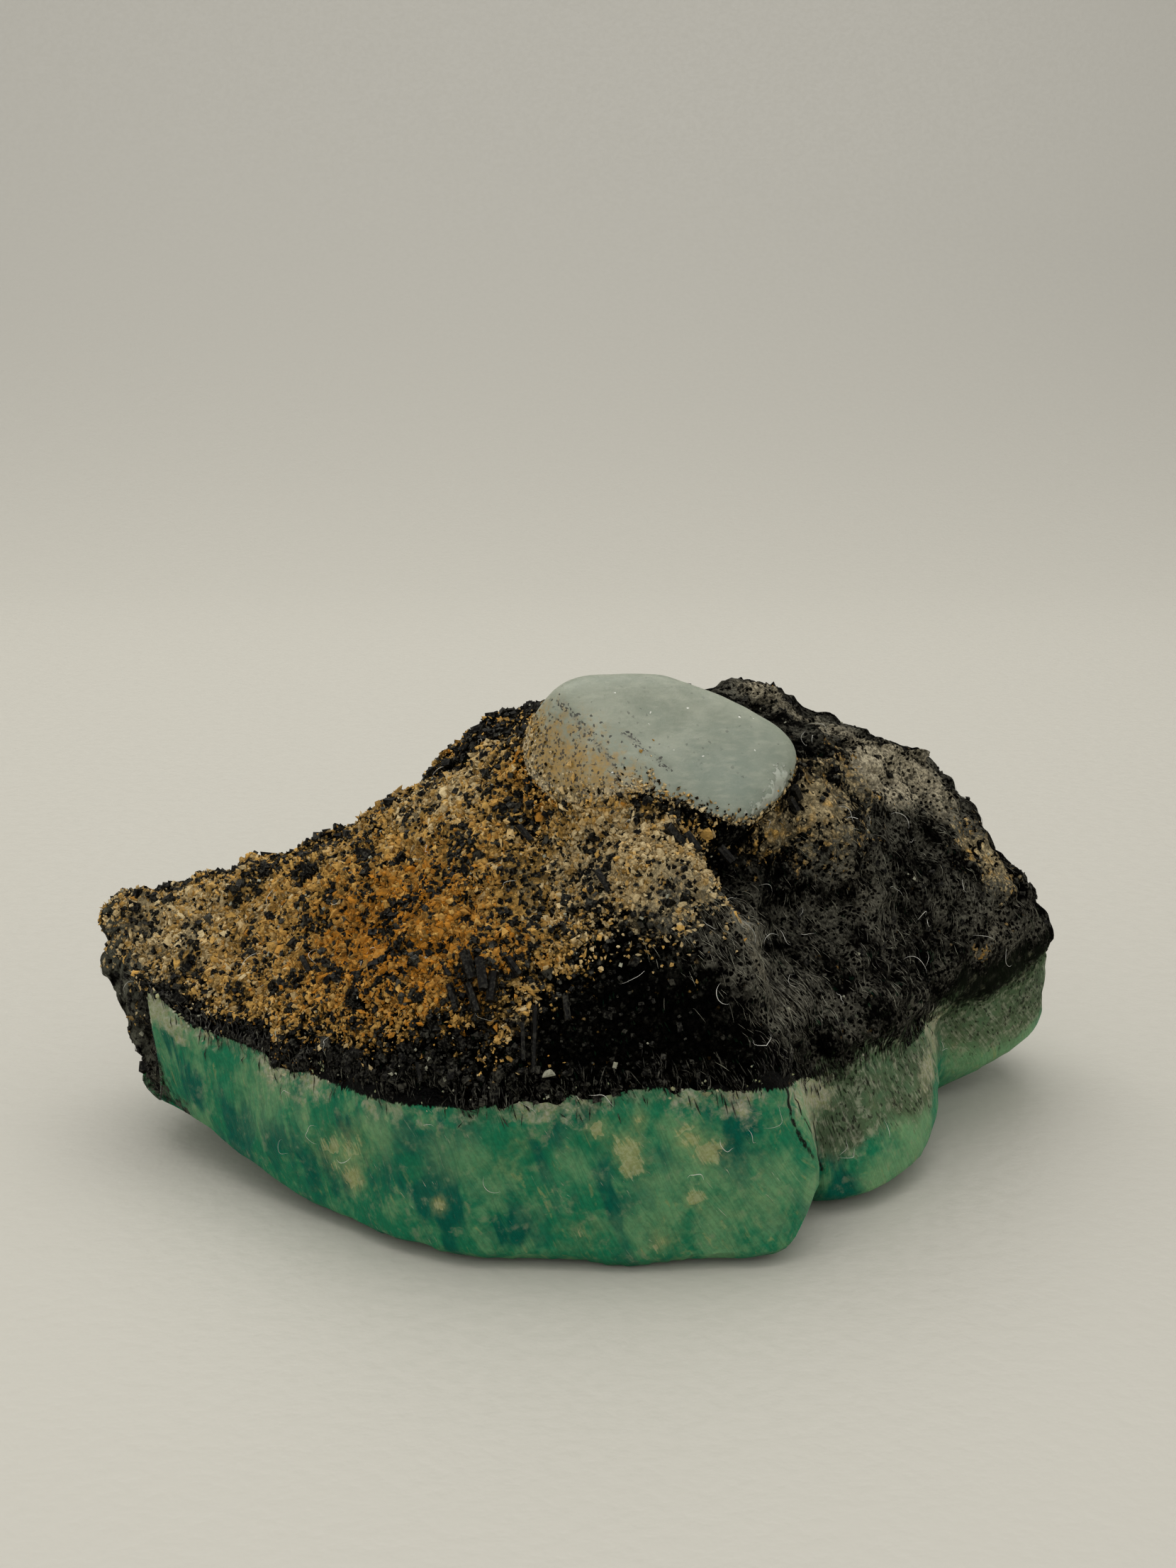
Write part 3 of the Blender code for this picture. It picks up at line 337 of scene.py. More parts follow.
def lattice_noise(points, size, seed):
    """Smooth noise from -1 to 1: a number at each corner of a cubic lattice, scrambled from the corner's
    place and the seed, and blended between the corners."""
    place = points / size + 100.0
    corner = np.floor(place).astype(np.int64)
    share = place - corner
    share = share * share * (3 - 2 * share)
    total = np.zeros(points.shape[:-1])
    for offset in np.ndindex(2, 2, 2):
        x, y, z = np.moveaxis(corner + offset, -1, 0)
        mixed = (x * 73856093) ^ (y * 19349663) ^ (z * 83492791) ^ (seed * 50331653)
        mixed = ((mixed ^ (mixed >> 13)) * 1274126177) & 0xFFFFFFFF
        mixed ^= mixed >> 16
        weight = np.prod(np.where(offset, share, 1 - share), axis=-1)
        total += weight * ((mixed & 0xFFFF) / 32767.5 - 1)
    return total


def layered_noise(points, layers):
    """Noises of several sizes added up; each layer is a size, a rise and a seed."""
    return sum(rise * lattice_noise(points, size, seed) for size, rise, seed in layers)


def nearness(points, centre, reach):
    """1 at a centre, and e to the minus square of the distance over the reach away from it."""
    return np.exp(-((np.linalg.norm(points - np.array(centre), axis=-1) / reach) ** 2))


def patchy(points, patches):
    """How much of a finish lies at each point, 0 to 1. A patch counts its strength times its nearness,
    and patches add up as the uncovered shares multiply."""
    clear = np.ones(points.shape[:-1])
    for centre, reach, strength in patches:
        clear = clear * (1 - strength * nearness(points, centre, reach))
    return 1 - clear


def distance_to_line(points, line):
    """Each point's distance to a line of straight runs."""
    line = np.array(line, dtype=float)
    near = np.full(points.shape[:-1], np.inf)
    for start, end in zip(line[:-1], line[1:]):
        run = end - start
        t = np.clip((points - start) @ run / (run @ run), 0, 1)
        near = np.minimum(near, np.linalg.norm(points - start - t[..., None] * run, axis=-1))
    return near


def in_cracks(points, lines):
    """How far in a crack each point is: e to the minus square of its distance over the crack's width."""
    return sum(np.exp(-((distance_to_line(points, line) / CRACK_WIDTH) ** 2)) for line in lines)


def normals_of(skin):
    """Outward unit normals of a grid of points, whose rows are closed rings from bottom to top."""
    around = np.roll(skin, -1, axis=1) - np.roll(skin, 1, axis=1)
    return unit(np.cross(around, np.gradient(skin, axis=0)))


# ---------------------------------------------------------------- the stone's skin
# Points and normals come in rows. `level` is how high a point is up its rib, `climb` how far it is from
# the seam up the surface, and `run` how far round the seam. `seam` is the seam's row, and `turn` and
# `tilt` are the angles of the collar's points about the knob.
Skin = namedtuple("Skin", "points normals level run climb seam turn tilt")


def knob_axes():
    """Unit vectors of the knob: to the right across it, to the back across it, and out of its socket."""
    out = np.array(KNOB_STAND) / np.linalg.norm(KNOB_STAND)
    right = np.array((1.0, 0, 0)) - out * out[0]
    right /= np.linalg.norm(right)
    return right, np.cross(out, right), out


def knob_point(direction, grow=0.0):
    """Where a line from the knob's centre leaves it: a power mean of the slants to its worn faces."""
    looks = np.array([look / np.linalg.norm(look) for look, _ in KNOB_FACES])
    hold = np.maximum(direction @ looks.T, 0) / np.array([distance + grow for _, distance in KNOB_FACES])
    reach = (hold**KNOB_CRISPNESS).sum(axis=-1) ** (-1 / KNOB_CRISPNESS)
    return np.array(KNOB_CENTRE) + direction * reach[..., None]


def collar_tilt(turn):
    """How far above the knob's middle the rock reaches, in radians, at each angle round the knob."""
    tilts = np.radians(np.array(COLLAR_TILTS, dtype=float))[:, None]
    return ring_points(tilts, turn % (2 * np.pi) / (2 * np.pi) * len(tilts))[:, 0]


def knob_direction(turn, tilt):
    """Unit vectors from the knob's middle, at angles `turn` round its axis and `tilt` above its middle."""
    right, back, out = knob_axes()
    across = np.outer(np.cos(turn), right) + np.outer(np.sin(turn), back)
    return across * np.cos(tilt)[:, None] + np.outer(np.sin(tilt), out)


def station_positions(seam_ring, brow_ring, count):
    """Rib positions round the stone in near-equal steps. The front and the right, where the stone has
    its finest detail, get closer steps than the back."""
    fine = np.linspace(0, len(seam_ring), 40 * len(seam_ring) + 1)
    at = fine % len(seam_ring)
    lines = [ring_points(ring, at) for ring in (seam_ring, brow_ring)]
    step = sum(np.linalg.norm(np.diff(line, axis=0), axis=1) for line in lines)
    step *= np.where(lines[0][1:, 1] > BACK_FROM, BACK_SHARE, 1.0)
    run = np.concatenate([[0], np.cumsum(step)])
    return np.interp(np.arange(count) * run[-1] / count, run, fine)


def spread_rows(rows):
    """Level positions of the rows from the rim up to the collar, with that many rows in each span."""
    return np.append(np.concatenate([level + np.arange(n) / n for level, n in enumerate(rows)]), len(rows))


@functools.lru_cache(maxsize=1)
def stone_skin(stations, ragged):
    """The stone's whole outer surface as rows of points, from the bed's rim up to the collar. A point
    is a blend up its rib at a height that counts in levels. The seam row wavers up and down the ribs,
    so that the two minerals meet along a ragged line, and then the relief is laid on."""
    ribs = np.array(RIBS)
    at = station_positions(ribs[:, SEAM - 1], ribs[:, BROW - 1], stations)
    rings = [ring_points(ribs[:, level], at) for level in range(ribs.shape[1])]
    keel, seam_line, brow = rings[KEEL - 1], rings[SEAM - 1], rings[BROW - 1]
    inward = np.array(BED_CENTRE) - keel
    inward[:, 2] = 0
    rim = keel + unit(inward) * (BED_INSET + BED_RAKE * keel[:, 2:])
    rim[:, 2] = 0

    right, back, _ = knob_axes()
    offset = brow - np.array(KNOB_CENTRE)
    turn = np.arctan2(offset @ back, offset @ right)
    tilt = collar_tilt(turn)
    levels = np.array([rim, *rings, knob_point(knob_direction(turn, tilt), grow=-COLLAR_SINK)])

    height = np.broadcast_to(spread_rows(ROWS)[:, None], (sum(ROWS) + 1, len(at))).copy()
    waver = ragged * layered_noise(seam_line, SEAM_WAVER)
    waver = waver / np.where(waver < 0, SPAN_BELOW_SEAM, SPAN_ABOVE_SEAM)
    near = np.where(height < SEAM, smooth_step(height - KEEL), smooth_step(FLANK - height))
    height += waver * near
    skin = rib_points(levels, height)
    skin[0, :, 2] = 0

    run = running_length(seam_line)
    skin = skin + normals_of(skin) * coarse_push(skin, height)[..., None]
    skin = skin + normals_of(skin) * fine_relief(skin, height, run)[..., None]
    skin[1:, :, 2] = np.maximum(skin[1:, :, 2], LOWEST)
    skin[:-2] = outside_knob(skin[:-2])
    seam = sum(ROWS[:SEAM])
    climb = running_length(skin)
    climb -= climb[seam]
    return Skin(skin, normals_of(skin), height, run, climb, seam, turn, tilt)


def outside_knob(points):
    """The points, with those in the knob or close to it moved out from its middle to clear it."""
    offset = points - np.array(KNOB_CENTRE)
    away = np.linalg.norm(offset, axis=-1, keepdims=True)
    surface = knob_point(offset / away, grow=KNOB_CLEARANCE)
    inside = away < np.linalg.norm(surface - np.array(KNOB_CENTRE), axis=-1, keepdims=True)
    return np.where(inside, surface, points)


def coarse_push(skin, height):
    """The main swells and lumps, which the solids carry too."""
    push = sum(rise * nearness(skin, centre, reach) for centre, reach, rise in SWELLS)
    push = push + layered_noise(skin, LUMPS)
    step = np.interp(height, range(len(FADE_STEPS)), FADE_STEPS)
    push *= SLAB_LUMPS + (1 - SLAB_LUMPS) * smooth_step((step - FADE_STEPS[SEAM] + 1) / 4)
    return push * smooth_step(step / 2) * smooth_step((FADE_STEPS[COLLAR] - step) / 4)


def fine_relief(skin, height, run):
    """The fine relief. The rock is crumbly, with folds where a noise crosses zero, and pitted where a
    second noise is high. It is streaked down the ribs where fibres cover it, and flat where it is bare
    and black. The slab has low cleavage steps, and chips along its edges."""
    rock = smooth_step((height - SEAM) / 0.25 + 0.3)
    lobes = patchy(skin, GREEN_SKIN)
    felt = patchy(skin, GREY_FELT + BLACK_HOLLOWS)
    bare = patchy(skin, BARE_FRONT)
    across = np.broadcast_to(run, height.shape)

    folds = np.maximum(0, 0.25 - np.abs(lattice_noise(skin, 2.4, 34))) / 0.25
    crumbs = layered_noise(skin, ROCK_CRUMBS) - FOLD_DEPTH * folds
    pits = -PIT_DEPTH * smooth_step((lattice_noise(skin, 1.5, 35) - 0.35) / 0.4)
    down_ribs = np.stack([across / 0.8, height * 0.9, height * 0], axis=-1)
    streaks = STREAK_DEPTH * lattice_noise(down_ribs, 1.0, 36)
    relief = crumbs * (1 - 0.65 * bare - 0.25 * felt) + streaks * felt
    relief += pits * np.maximum(felt - 0.2, 0.25 * (1 - bare))
    relief = relief * (1 - 0.5 * lobes) - ROCK_SINK * (1 - lobes)

    broad = np.stack([across / 5.0, height * 1.4, height * 0], axis=-1)
    steps = 2 * lattice_noise(broad, 1.0, 41)
    stairs = np.floor(steps) + smooth_step((steps % 1 - 0.4) / 0.2)
    edge = np.maximum(smooth_step(1.35 - height) * smooth_step(height * 3), 0.25)
    chips = CHIP_DEPTH * np.maximum(0, lattice_noise(skin, 2.3, 42) - 0.25) * edge
    lip = 1.86 + 0.05 * lattice_noise(skin, 2.6, 45)      # in levels, a little below the seam
    ledge = LEDGE_DEPTH * smooth_step((height - lip) / 0.03) * (1 - lobes)
    slab = STAIR_RISE * stairs + layered_noise(skin, SLAB_GRAIN) - chips - ledge
    ends = smooth_step(height * 2) * smooth_step((COLLAR - height) * 4)
    return (relief * rock + slab * (1 - rock)) * ends


# ---------------------------------------------------------------- meshes from arrays
def new_mesh(name, points, faces, material, smooth):
    """A mesh object of triangles. The points are in the stone's own measure, in millimetres."""
    mesh = bpy.data.meshes.new(name)
    mesh.from_pydata(((points - ORIGIN) * MM).tolist(), [], faces.tolist())
    mesh.materials.append(material)
    if smooth:
        mesh.shade_smooth()
        mesh.set_sharp_from_angle(angle=np.radians(SHARP_ANGLE))
    piece = bpy.data.objects.new(name, mesh)
    bpy.context.scene.collection.objects.link(piece)
    return piece


def paint(piece, **values):
    """Puts values on a piece's points: one number a point, or three."""
    for name, value in values.items():
        value = np.ascontiguousarray(value, dtype=np.float32)
        kind, field = ("FLOAT", "value") if value.ndim == 1 else ("FLOAT_VECTOR", "vector")
        piece.data.attributes.new(name, kind, "POINT").data.foreach_set(field, value.ravel())


def ring_faces(rings, count):
    """Triangles of a closed surface over `rings` rings of `count` points, which come after a low pole
    and before a high one: two to each square between rings, and a fan at each pole."""
    here = np.arange(count)
    beside = (here + 1) % count
    first = (1 + count * np.arange(rings - 1))[:, None]
    low, low_next = first + here, first + beside
    high, high_next = low + count, low_next + count
    walls = [np.stack([low, low_next, high_next], axis=-1), np.stack([low, high_next, high], axis=-1)]
    last = 1 + count * (rings - 1)
    fans = [
        np.stack([here * 0, 1 + beside, 1 + here], axis=-1),
        np.stack([here * 0 + last + count, last + here, last + beside], axis=-1),
    ]
    return np.concatenate([part.reshape(-1, 3) for part in (*walls, *fans)])


def disc_rows(ring, centre, count, bend):
    """Rings from `ring` towards `centre`, the ring left out; their height goes by a power `bend`."""
    centre = np.array(centre)
    share = (np.arange(count - 1, 0, -1) / count)[:, None, None]
    rows = centre + (ring - centre) * share
    rows[..., 2] = centre[2] + (ring[:, 2] - centre[2]) * share[..., 0] ** bend
    return rows


def finish_masks(skin):
    """The finish at each point of the skin, one value from 0 to 1 for each kind of finish."""
    points = skin.points
    waver = 0.5 + 0.5 * lattice_noise(points, 2.2, 51)
    above, below = np.maximum(skin.climb, 0), np.maximum(-skin.climb, 0)      # from the seam, up and down
    rock = smooth_step((skin.level - SEAM) * 40 + 0.5)
    lobes, crust, black = (patchy(points, patches) for patches in (GREEN_SKIN, BROWN_CRUST, BLACK_ROCK))

    # Weathered grains thicken above a black band along the seam.
    band = smooth_step((above - 0.1 - 0.8 * waver) / 2.4)
    loose = patchy(points, OCHRE_GRAINS) * (0.16 + 0.84 * band) * (1 - 0.9 * crust) * (1 - black)
    close = patchy(points, OCHRE_CRUST) * (1 - black)

    # On the lobes the green goes on above the seam, under a film that thins out below it. Elsewhere
    # a narrow edge of film follows the seam.
    green = np.maximum(1 - rock, lobes * smooth_step((7.0 - above) / 3.0))
    higher = smooth_step(green * 5) * (1 + smooth_step(above / 4.5))
    reach = 6.6 + 1.4 * smooth_step((points[..., 0] - 25.5) / 2.5) + 2.2 * (waver - 0.5)
    lower = smooth_step(lobes * 1.4) * smooth_step((reach - below) / 3.2)
    film = np.where(skin.climb > 0, higher, lower)
    rim_span = np.where(skin.climb > 0, smooth_step((0.9 - above) / 0.6), smooth_step((3.6 - below) / 1.8))
    return {
        "green": green * (1 - crust),
        "skin": np.maximum(film, 0.5 * smooth_step((1.9 - below - above * 9) / 1.7)),
        # Milky clouds, and painted glow of light through the thin lower edges.
        "pale": patchy(points, PALE_GREEN_AND_GLOW),
        "deep": patchy(points, DEEP_TEAL),
        "rim": np.maximum(patchy(points, CRUMBLED_RIM) * rim_span, patchy(points, PALE_WEDGE)),
        "split": np.clip(in_cracks(points, SLAB_CRACKS), 0, 1),
        "blotch": patchy(points, YELLOW_BLOTCHES),
        "loose": loose,
        "ochre": 1 - (1 - loose) * (1 - close),
        "warmth": np.clip(0.4 + 0.6 * patchy(points, IRON_STAIN) - 0.6 * patchy(points, PALE_TAN), 0, 1),
        "felt": patchy(points, GREY_FELT),
        "black": np.maximum(black, (1 - band) * (1 - lobes)),
        "crust": crust,
    }


def painted_surface(name, rows, low_pole, high_pole, material, masks, flow):
    """A closed surface over rows of points between two poles, with its masks painted on. The two poles,
    inside the stone, get zeros."""
    points = np.concatenate([[low_pole], rows.reshape(-1, 3), [high_pole]])
    piece = new_mesh(name, points, ring_faces(len(rows), rows.shape[1]), material, smooth=True)
    paint(piece, **{key: np.concatenate([[0], value.ravel(), [0]]) for key, value in masks.items()})
    paint(piece, flow=np.concatenate([np.zeros((1, 3)), flow.reshape(-1, 3), np.zeros((1, 3))]) * MM)
    return piece


def flow_of(skin):
    """How far each point is round the stone and up it, in millimetres, for patterns that follow the
    surface. The count round the stone starts again at the back."""
    round_it = (skin.run - skin.run[len(skin.run) * 3 // 4]) % skin.run[-1]
    return np.stack([np.broadcast_to(round_it, skin.climb.shape), skin.climb, skin.climb * 0], axis=-1)


def padded(values, before, after):
    """Copies of the first and last row put before and after, for rows inside the stone."""
    return np.concatenate([np.repeat(values[:1], before, 0), values, np.repeat(values[-1:], after, 0)])


# ---------------------------------------------------------------- scattered pieces
def ball_shape(subdivisions):
    """The points and faces of a ball of radius 1; with 1 subdivision it is an icosahedron."""
    ball = bmesh.new()
    bmesh.ops.create_icosphere(ball, subdivisions=subdivisions, radius=1.0)
    points = np.array([vert.co for vert in ball.verts])
    faces = np.array([[vert.index for vert in face.verts] for face in ball.faces])
    ball.free()
    return points, faces


def block_shape():
    """The points and faces of a cube whose corners are at radius 1."""
    points = np.array([(x, y, z) for z in (-1, 1) for y in (-1, 1) for x in (-1, 1)]) / np.sqrt(3)
    squares = ((0, 2, 3, 1), (4, 5, 7, 6), (0, 1, 5, 4), (1, 3, 7, 5), (3, 2, 6, 7), (2, 0, 4, 6))
    return points, np.array([half for a, b, c, d in squares for half in ((a, b, c), (a, c, d))])


def shard_shape():
    """The points and faces of an octahedron of radius 1."""
    points = np.array([(1, 0, 0), (0, 1, 0), (-1, 0, 0), (0, -1, 0), (0, 0, 1), (0, 0, -1)], dtype=float)
    faces = [half for i in range(4) for half in ((i, (i + 1) % 4, 4), ((i + 1) % 4, i, 5))]
    return points, np.array(faces)


def rod_shape(sides):
    """The points and faces of a rod of radius 1 along Z from -1 to 1, with flat ends."""
    angle = np.arange(sides) * 2 * np.pi / sides
    ring = np.stack([np.cos(angle), np.sin(angle)], axis=1)
    points = np.concatenate([np.column_stack([ring, np.full(sides, z)]) for z in (-1.0, 1.0)])
    here = np.arange(sides)
    beside = (here + 1) % sides
    walls = [np.stack([here, beside, beside + sides], 1), np.stack([here, beside + sides, here + sides], 1)]
    middle = np.arange(1, sides - 1)
    low_end = np.stack([middle * 0, middle + 1, middle], 1)
    high_end = low_end[:, [0, 2, 1]] + sides
    return points, np.concatenate([*walls, low_end, high_end])


def picked_spots(rng, skin, rows, weight, count):
    """Random spots on the skin between two rows. A square of the grid is picked by its area times its
    weight, and the spot is a random blend of its corners. Gives row and station positions."""
    low, high = rows
    part = skin.points[low:high]
    up = part[1:] - part[:-1]
    along = (np.roll(part, -1, axis=1) - part)[:-1]
    area = np.linalg.norm(np.cross(along, up), axis=-1) * weight[low : high - 1]
    flat = area.ravel() / area.sum()
    chosen = rng.choice(flat.size, size=count, p=flat)
    row, station = np.divmod(chosen, part.shape[1])
    return low + row + rng.random(count), station + rng.random(count)


def at_spots(values, row, station):
    """A grid's values at row and station positions, blended from the four points round each."""
    count = values.shape[1]
    low = np.clip(np.floor(row).astype(int), 0, len(values) - 2)
    left = np.floor(station).astype(int)
    extra = (1,) * (values.ndim - 2)
    up = np.clip(row - low, 0, 1).reshape(*row.shape, *extra)
    side = (station - left).reshape(*row.shape, *extra)
    right = (left + 1) % count
    left = left % count
    under = values[low, left] * (1 - side) + values[low, right] * side
    over = values[low + 1, left] * (1 - side) + values[low + 1, right] * side
    return under * (1 - up) + over * up


def frames_along(axis, rng):
    """Three unit vectors for each axis, with a random turn about it; the axis comes last."""
    axis = unit(axis)
    side = unit(np.cross(axis, rng.normal(size=axis.shape)))
    return np.stack([side, np.cross(axis, side), axis], axis=1)


def joined(name, shape, centres, frames, scales, jitter, rng, material, **values):
    """Many copies of one small shape in one mesh. Copy i is the shape with each point's distance from
    its middle made a random share longer or shorter, scaled along the three unit vectors of frame i,
    and moved to centre i."""
    points, faces = shape
    count = len(centres)
    stretch = 1 + jitter * (2 * rng.random((count, len(points), 1)) - 1)
    local = points[None] * stretch * scales[:, None, :]
    placed = centres[:, None, :] + np.einsum("nij,njk->nik", local, frames)
    all_faces = (faces[None] + (np.arange(count) * len(points))[:, None, None]).reshape(-1, 3)
    piece = new_mesh(name, placed.reshape(-1, 3), all_faces, material, smooth=False)
    paint(piece, **{key: np.repeat(value, len(points)) for key, value in values.items()})
    return piece


def threads(name, paths, radius, material, **values):
    """Thin three-sided threads in one mesh. Each follows its own path of points and narrows to a point
    at both ends; a cross-section is a triangle square to the path."""
    count, steps = paths.shape[:2]
    ahead = unit(np.gradient(paths, axis=1))
    side = unit(np.cross(ahead, np.array((0.31, 0.17, 0.93))))
    over = np.cross(ahead, side)
    taper = np.sin(np.pi * (0.04 + 0.92 * np.arange(steps) / (steps - 1)))[None, :, None]
    thick = radius[:, None, None] * taper
    angle = np.arange(3) * 2 * np.pi / 3
    rings = [paths + thick * (side * np.cos(a) + over * np.sin(a)) for a in angle]
    points = np.stack(rings, axis=2)                       # threads x steps x 3 corners x 3
    here = np.arange(3)
    beside = (here + 1) % 3
    first = 3 * np.arange(steps - 1)[:, None]
    walls = [
        np.stack([first + here, first + beside, first + 3 + beside], -1),
        np.stack([first + here, first + 3 + beside, first + 3 + here], -1),
    ]
    last = 3 * (steps - 1)
    faces = np.concatenate([*(w.reshape(-1, 3) for w in walls), [[2, 1, 0], [last, last + 1, last + 2]]])
    all_faces = (faces[None] + (np.arange(count) * steps * 3)[:, None, None]).reshape(-1, 3)
    piece = new_mesh(name, points.reshape(-1, 3), all_faces, material, smooth=False)
    paint(piece, **{key: np.repeat(value, steps * 3) for key, value in values.items()})
    return piece


def surface_paths(skin, row, station, length, lean, lift, steps):
    """Paths that lie on the skin: each starts at its spot and runs down the ribs for its length, leaning
    to the right by its angle, in steps of the grid's local spacing."""
    row_gap = np.linalg.norm(np.gradient(skin.points, axis=0), axis=-1)
    side_gap = np.linalg.norm(np.roll(skin.points, -1, 1) - skin.points, axis=-1)
    down = -length * np.cos(lean) / at_spots(row_gap, row, station)
    along = length * np.sin(lean) / at_spots(side_gap, row, station)
    share = np.linspace(0, 1, steps)[None]
    rows = np.clip(row[:, None] + down[:, None] * share, 2, len(skin.points) - 2)
    stations = station[:, None] + along[:, None] * share
    rise = lift[:, None] * (0.35 + np.sin(np.pi * share))
    return at_spots(skin.points, rows, stations) + at_spots(skin.normals, rows, stations) * rise[..., None]


def laid_threads(name, skin, rng, rows, weight, count, material, steps, lean, lift, radius, tone, pale):
    """Threads 0.4 to 1.1 mm long that lie on the skin between two rows. `lean` is the middle and spread
    of their angles, `lift` and `radius` are ranges, `tone` shapes their tones, and a share is pale."""
    row, station = picked_spots(rng, skin, rows, weight, count)
    length = rng.uniform(0.4, 1.1, count)
    leans, lifts = rng.normal(*lean, count), rng.uniform(*lift, count)
    paths = surface_paths(skin, row, station, length, leans, lifts, steps)
    thick, tones = rng.uniform(*radius, count), rng.beta(*tone, count)
    paler = (rng.random(count) < pale) * rng.uniform(0.3, 1.0, count)
    return threads(name, paths, thick, material, tone=tones, warmth=paler)


# ---------------------------------------------------------------- materials
MID_GREY = (0.5, 0.5, 0.5, 1)         # a group's colours, before a material sets them
DARK_EARTH = (0.01, 0.006, 0.003, 1)  # what a weathered grain darkens to
BRIGHT_FIBRE = (0.5, 0.5, 0.44, 1)    # the palest felt
FRESH_BREAK = (0.42, 0.45, 0.39, 1)   # the knob's broken edge
WHITE_DUST = (0.7, 0.7, 0.65, 1)

# What goes into the two groups that make the stone's skin: each input, and its tint or painted value.
ROCK_COLOURS = {
    "Black": "tourmaline", "Tan": "tan", "Ochre": "ochre", "Orange": "orange", "Grey": "grey",
    "Crust": "crust",
}
ROCK_MASKS = {"Coverage": "ochre", "Warmth": "warmth", "Felt": "felt", "Bare": "black", "Rind": "crust"}
FACE_COLOURS = {
    "Green": "amazonite", "Deep": "amazonite_deep", "Pale": "amazonite_pale", "Yellow": "vein",
    "White": "rim", "Needle": "tourmaline", "Film": "film",
}
FACE_MASKS = {
    "Paleness": "pale", "Depth": "deep", "Rim": "rim", "Skin": "skin", "Blotch": "blotch", "Split": "split",
}


class Bench:
    """A node tree being laid out. The methods add nodes and give back an output socket, or several by
    name. Sizes of patterns are in millimetres, and a noise's scale counts lumps to the metre."""

    def __init__(self, tree):
        self.tree = tree

    def put(self, socket, value):
        if isinstance(value, bpy.types.NodeSocket):
            self.tree.links.new(value, socket)
        else:
            socket.default_value = value

    def node(self, kind, sockets=None, **settings):
        made = self.tree.nodes.new("ShaderNode" + kind)
        for name, value in settings.items():
            setattr(made, name, value)
        for name, value in (sockets or {}).items():
            self.put(made.inputs[name], value)
        return made

    def group(self, tree, **sockets):
        return self.node("Group", sockets, node_tree=tree).outputs

    def cells(self, vector, size):
        return self.group(grain_cells(), Vector=vector, Size=size * MM)

    def streaks(self, flow, width, length, lean):
        sockets = {"Width": width * MM, "Length": length * MM, "Lean": lean}
        return self.group(felt_streaks(), Flow=flow, **sockets)["Streak"]

    def cloud(self, vector, size):
        return self.group(feldspar_cloud(), Vector=vector, Size=size * MM)

    def math(self, operation, a, b):
        return self.node("Math", {0: a, 1: b}, operation=operation).outputs[0]

    def vector(self, operation, a, b):
        return self.node("VectorMath", {0: a, 1: b}, operation=operation).outputs[0]

    def sum(self, *values):
        return functools.reduce(functools.partial(self.math, "ADD"), values)

    def product(self, *values):
        return functools.reduce(functools.partial(self.math, "MULTIPLY"), values)

    def weighted(self, *pairs):
        """The sum of some values, each times its share."""
        return self.sum(*(self.product(value, share) for value, share in pairs))

    def fit(self, value, low, high, new_low=0.0, new_high=1.0):
        """The value sent smoothly from one span to another, and held at the ends."""
        sockets = {"Value": value, "From Min": low, "From Max": high, "To Min": new_low, "To Max": new_high}
        return self.node("MapRange", sockets, interpolation_type="SMOOTHSTEP").outputs[0]

    def swing(self, noise, reach):
        """A noise that is mostly between 0.3 and 0.7, sent to either side of zero."""
        return self.fit(noise, 0.3, 0.7, -reach, reach)

    def mix(self, share, a, b, blend="MIX"):
        return self.node("Mix", {0: share, 6: a, 7: b}, data_type="RGBA", blend_type=blend).outputs[2]

    def shaded(self, color, shade):
        grey = self.node("CombineXYZ", {0: shade, 1: shade, 2: shade}).outputs[0]
        return self.mix(1.0, color, grey, "MULTIPLY")

    def noise(self, vector, scale, detail=3.0, roughness=0.55, distortion=0.0):
        sockets = {"Scale": scale, "Detail": detail, "Roughness": roughness, "Distortion": distortion}
        return self.node("TexNoise", {"Vector": vector, **sockets}).outputs["Fac"]

    def xyz(self, vector):
        return self.node("SeparateXYZ", {0: vector}).outputs

    def value(self, name):
        return self.node("Attribute", attribute_name=name).outputs["Fac"]

    def place(self):
        return self.node("TexCoord").outputs["Object"]

    def flow(self):
        return self.node("Attribute", attribute_name="flow").outputs["Vector"]


def new_group(name, outputs, **inputs):
    """An empty node group. An input's default also tells its kind: None for a vector, a number, or a
    colour. All outputs are numbers but for one named Color. Gives the tree, a bench, the inputs by name,
    and a function that joins up an output."""
    tree = bpy.data.node_groups.new(name, "ShaderNodeTree")
    for label, default in inputs.items():
        kind = "Vector" if default is None else "Color" if isinstance(default, tuple) else "Float"
        socket = tree.interface.new_socket(label, in_out="INPUT", socket_type="NodeSocket" + kind)
        if default is not None:
            socket.default_value = default
    for label in outputs.split():
        kind = "Color" if label == "Color" else "Float"
        tree.interface.new_socket(label, in_out="OUTPUT", socket_type="NodeSocket" + kind)
    entry = tree.nodes.new("NodeGroupInput").outputs
    leave = tree.nodes.new("NodeGroupOutput").inputs

    def send(label, socket):
        tree.links.new(socket, leave[label])

    return tree, Bench(tree), entry, send


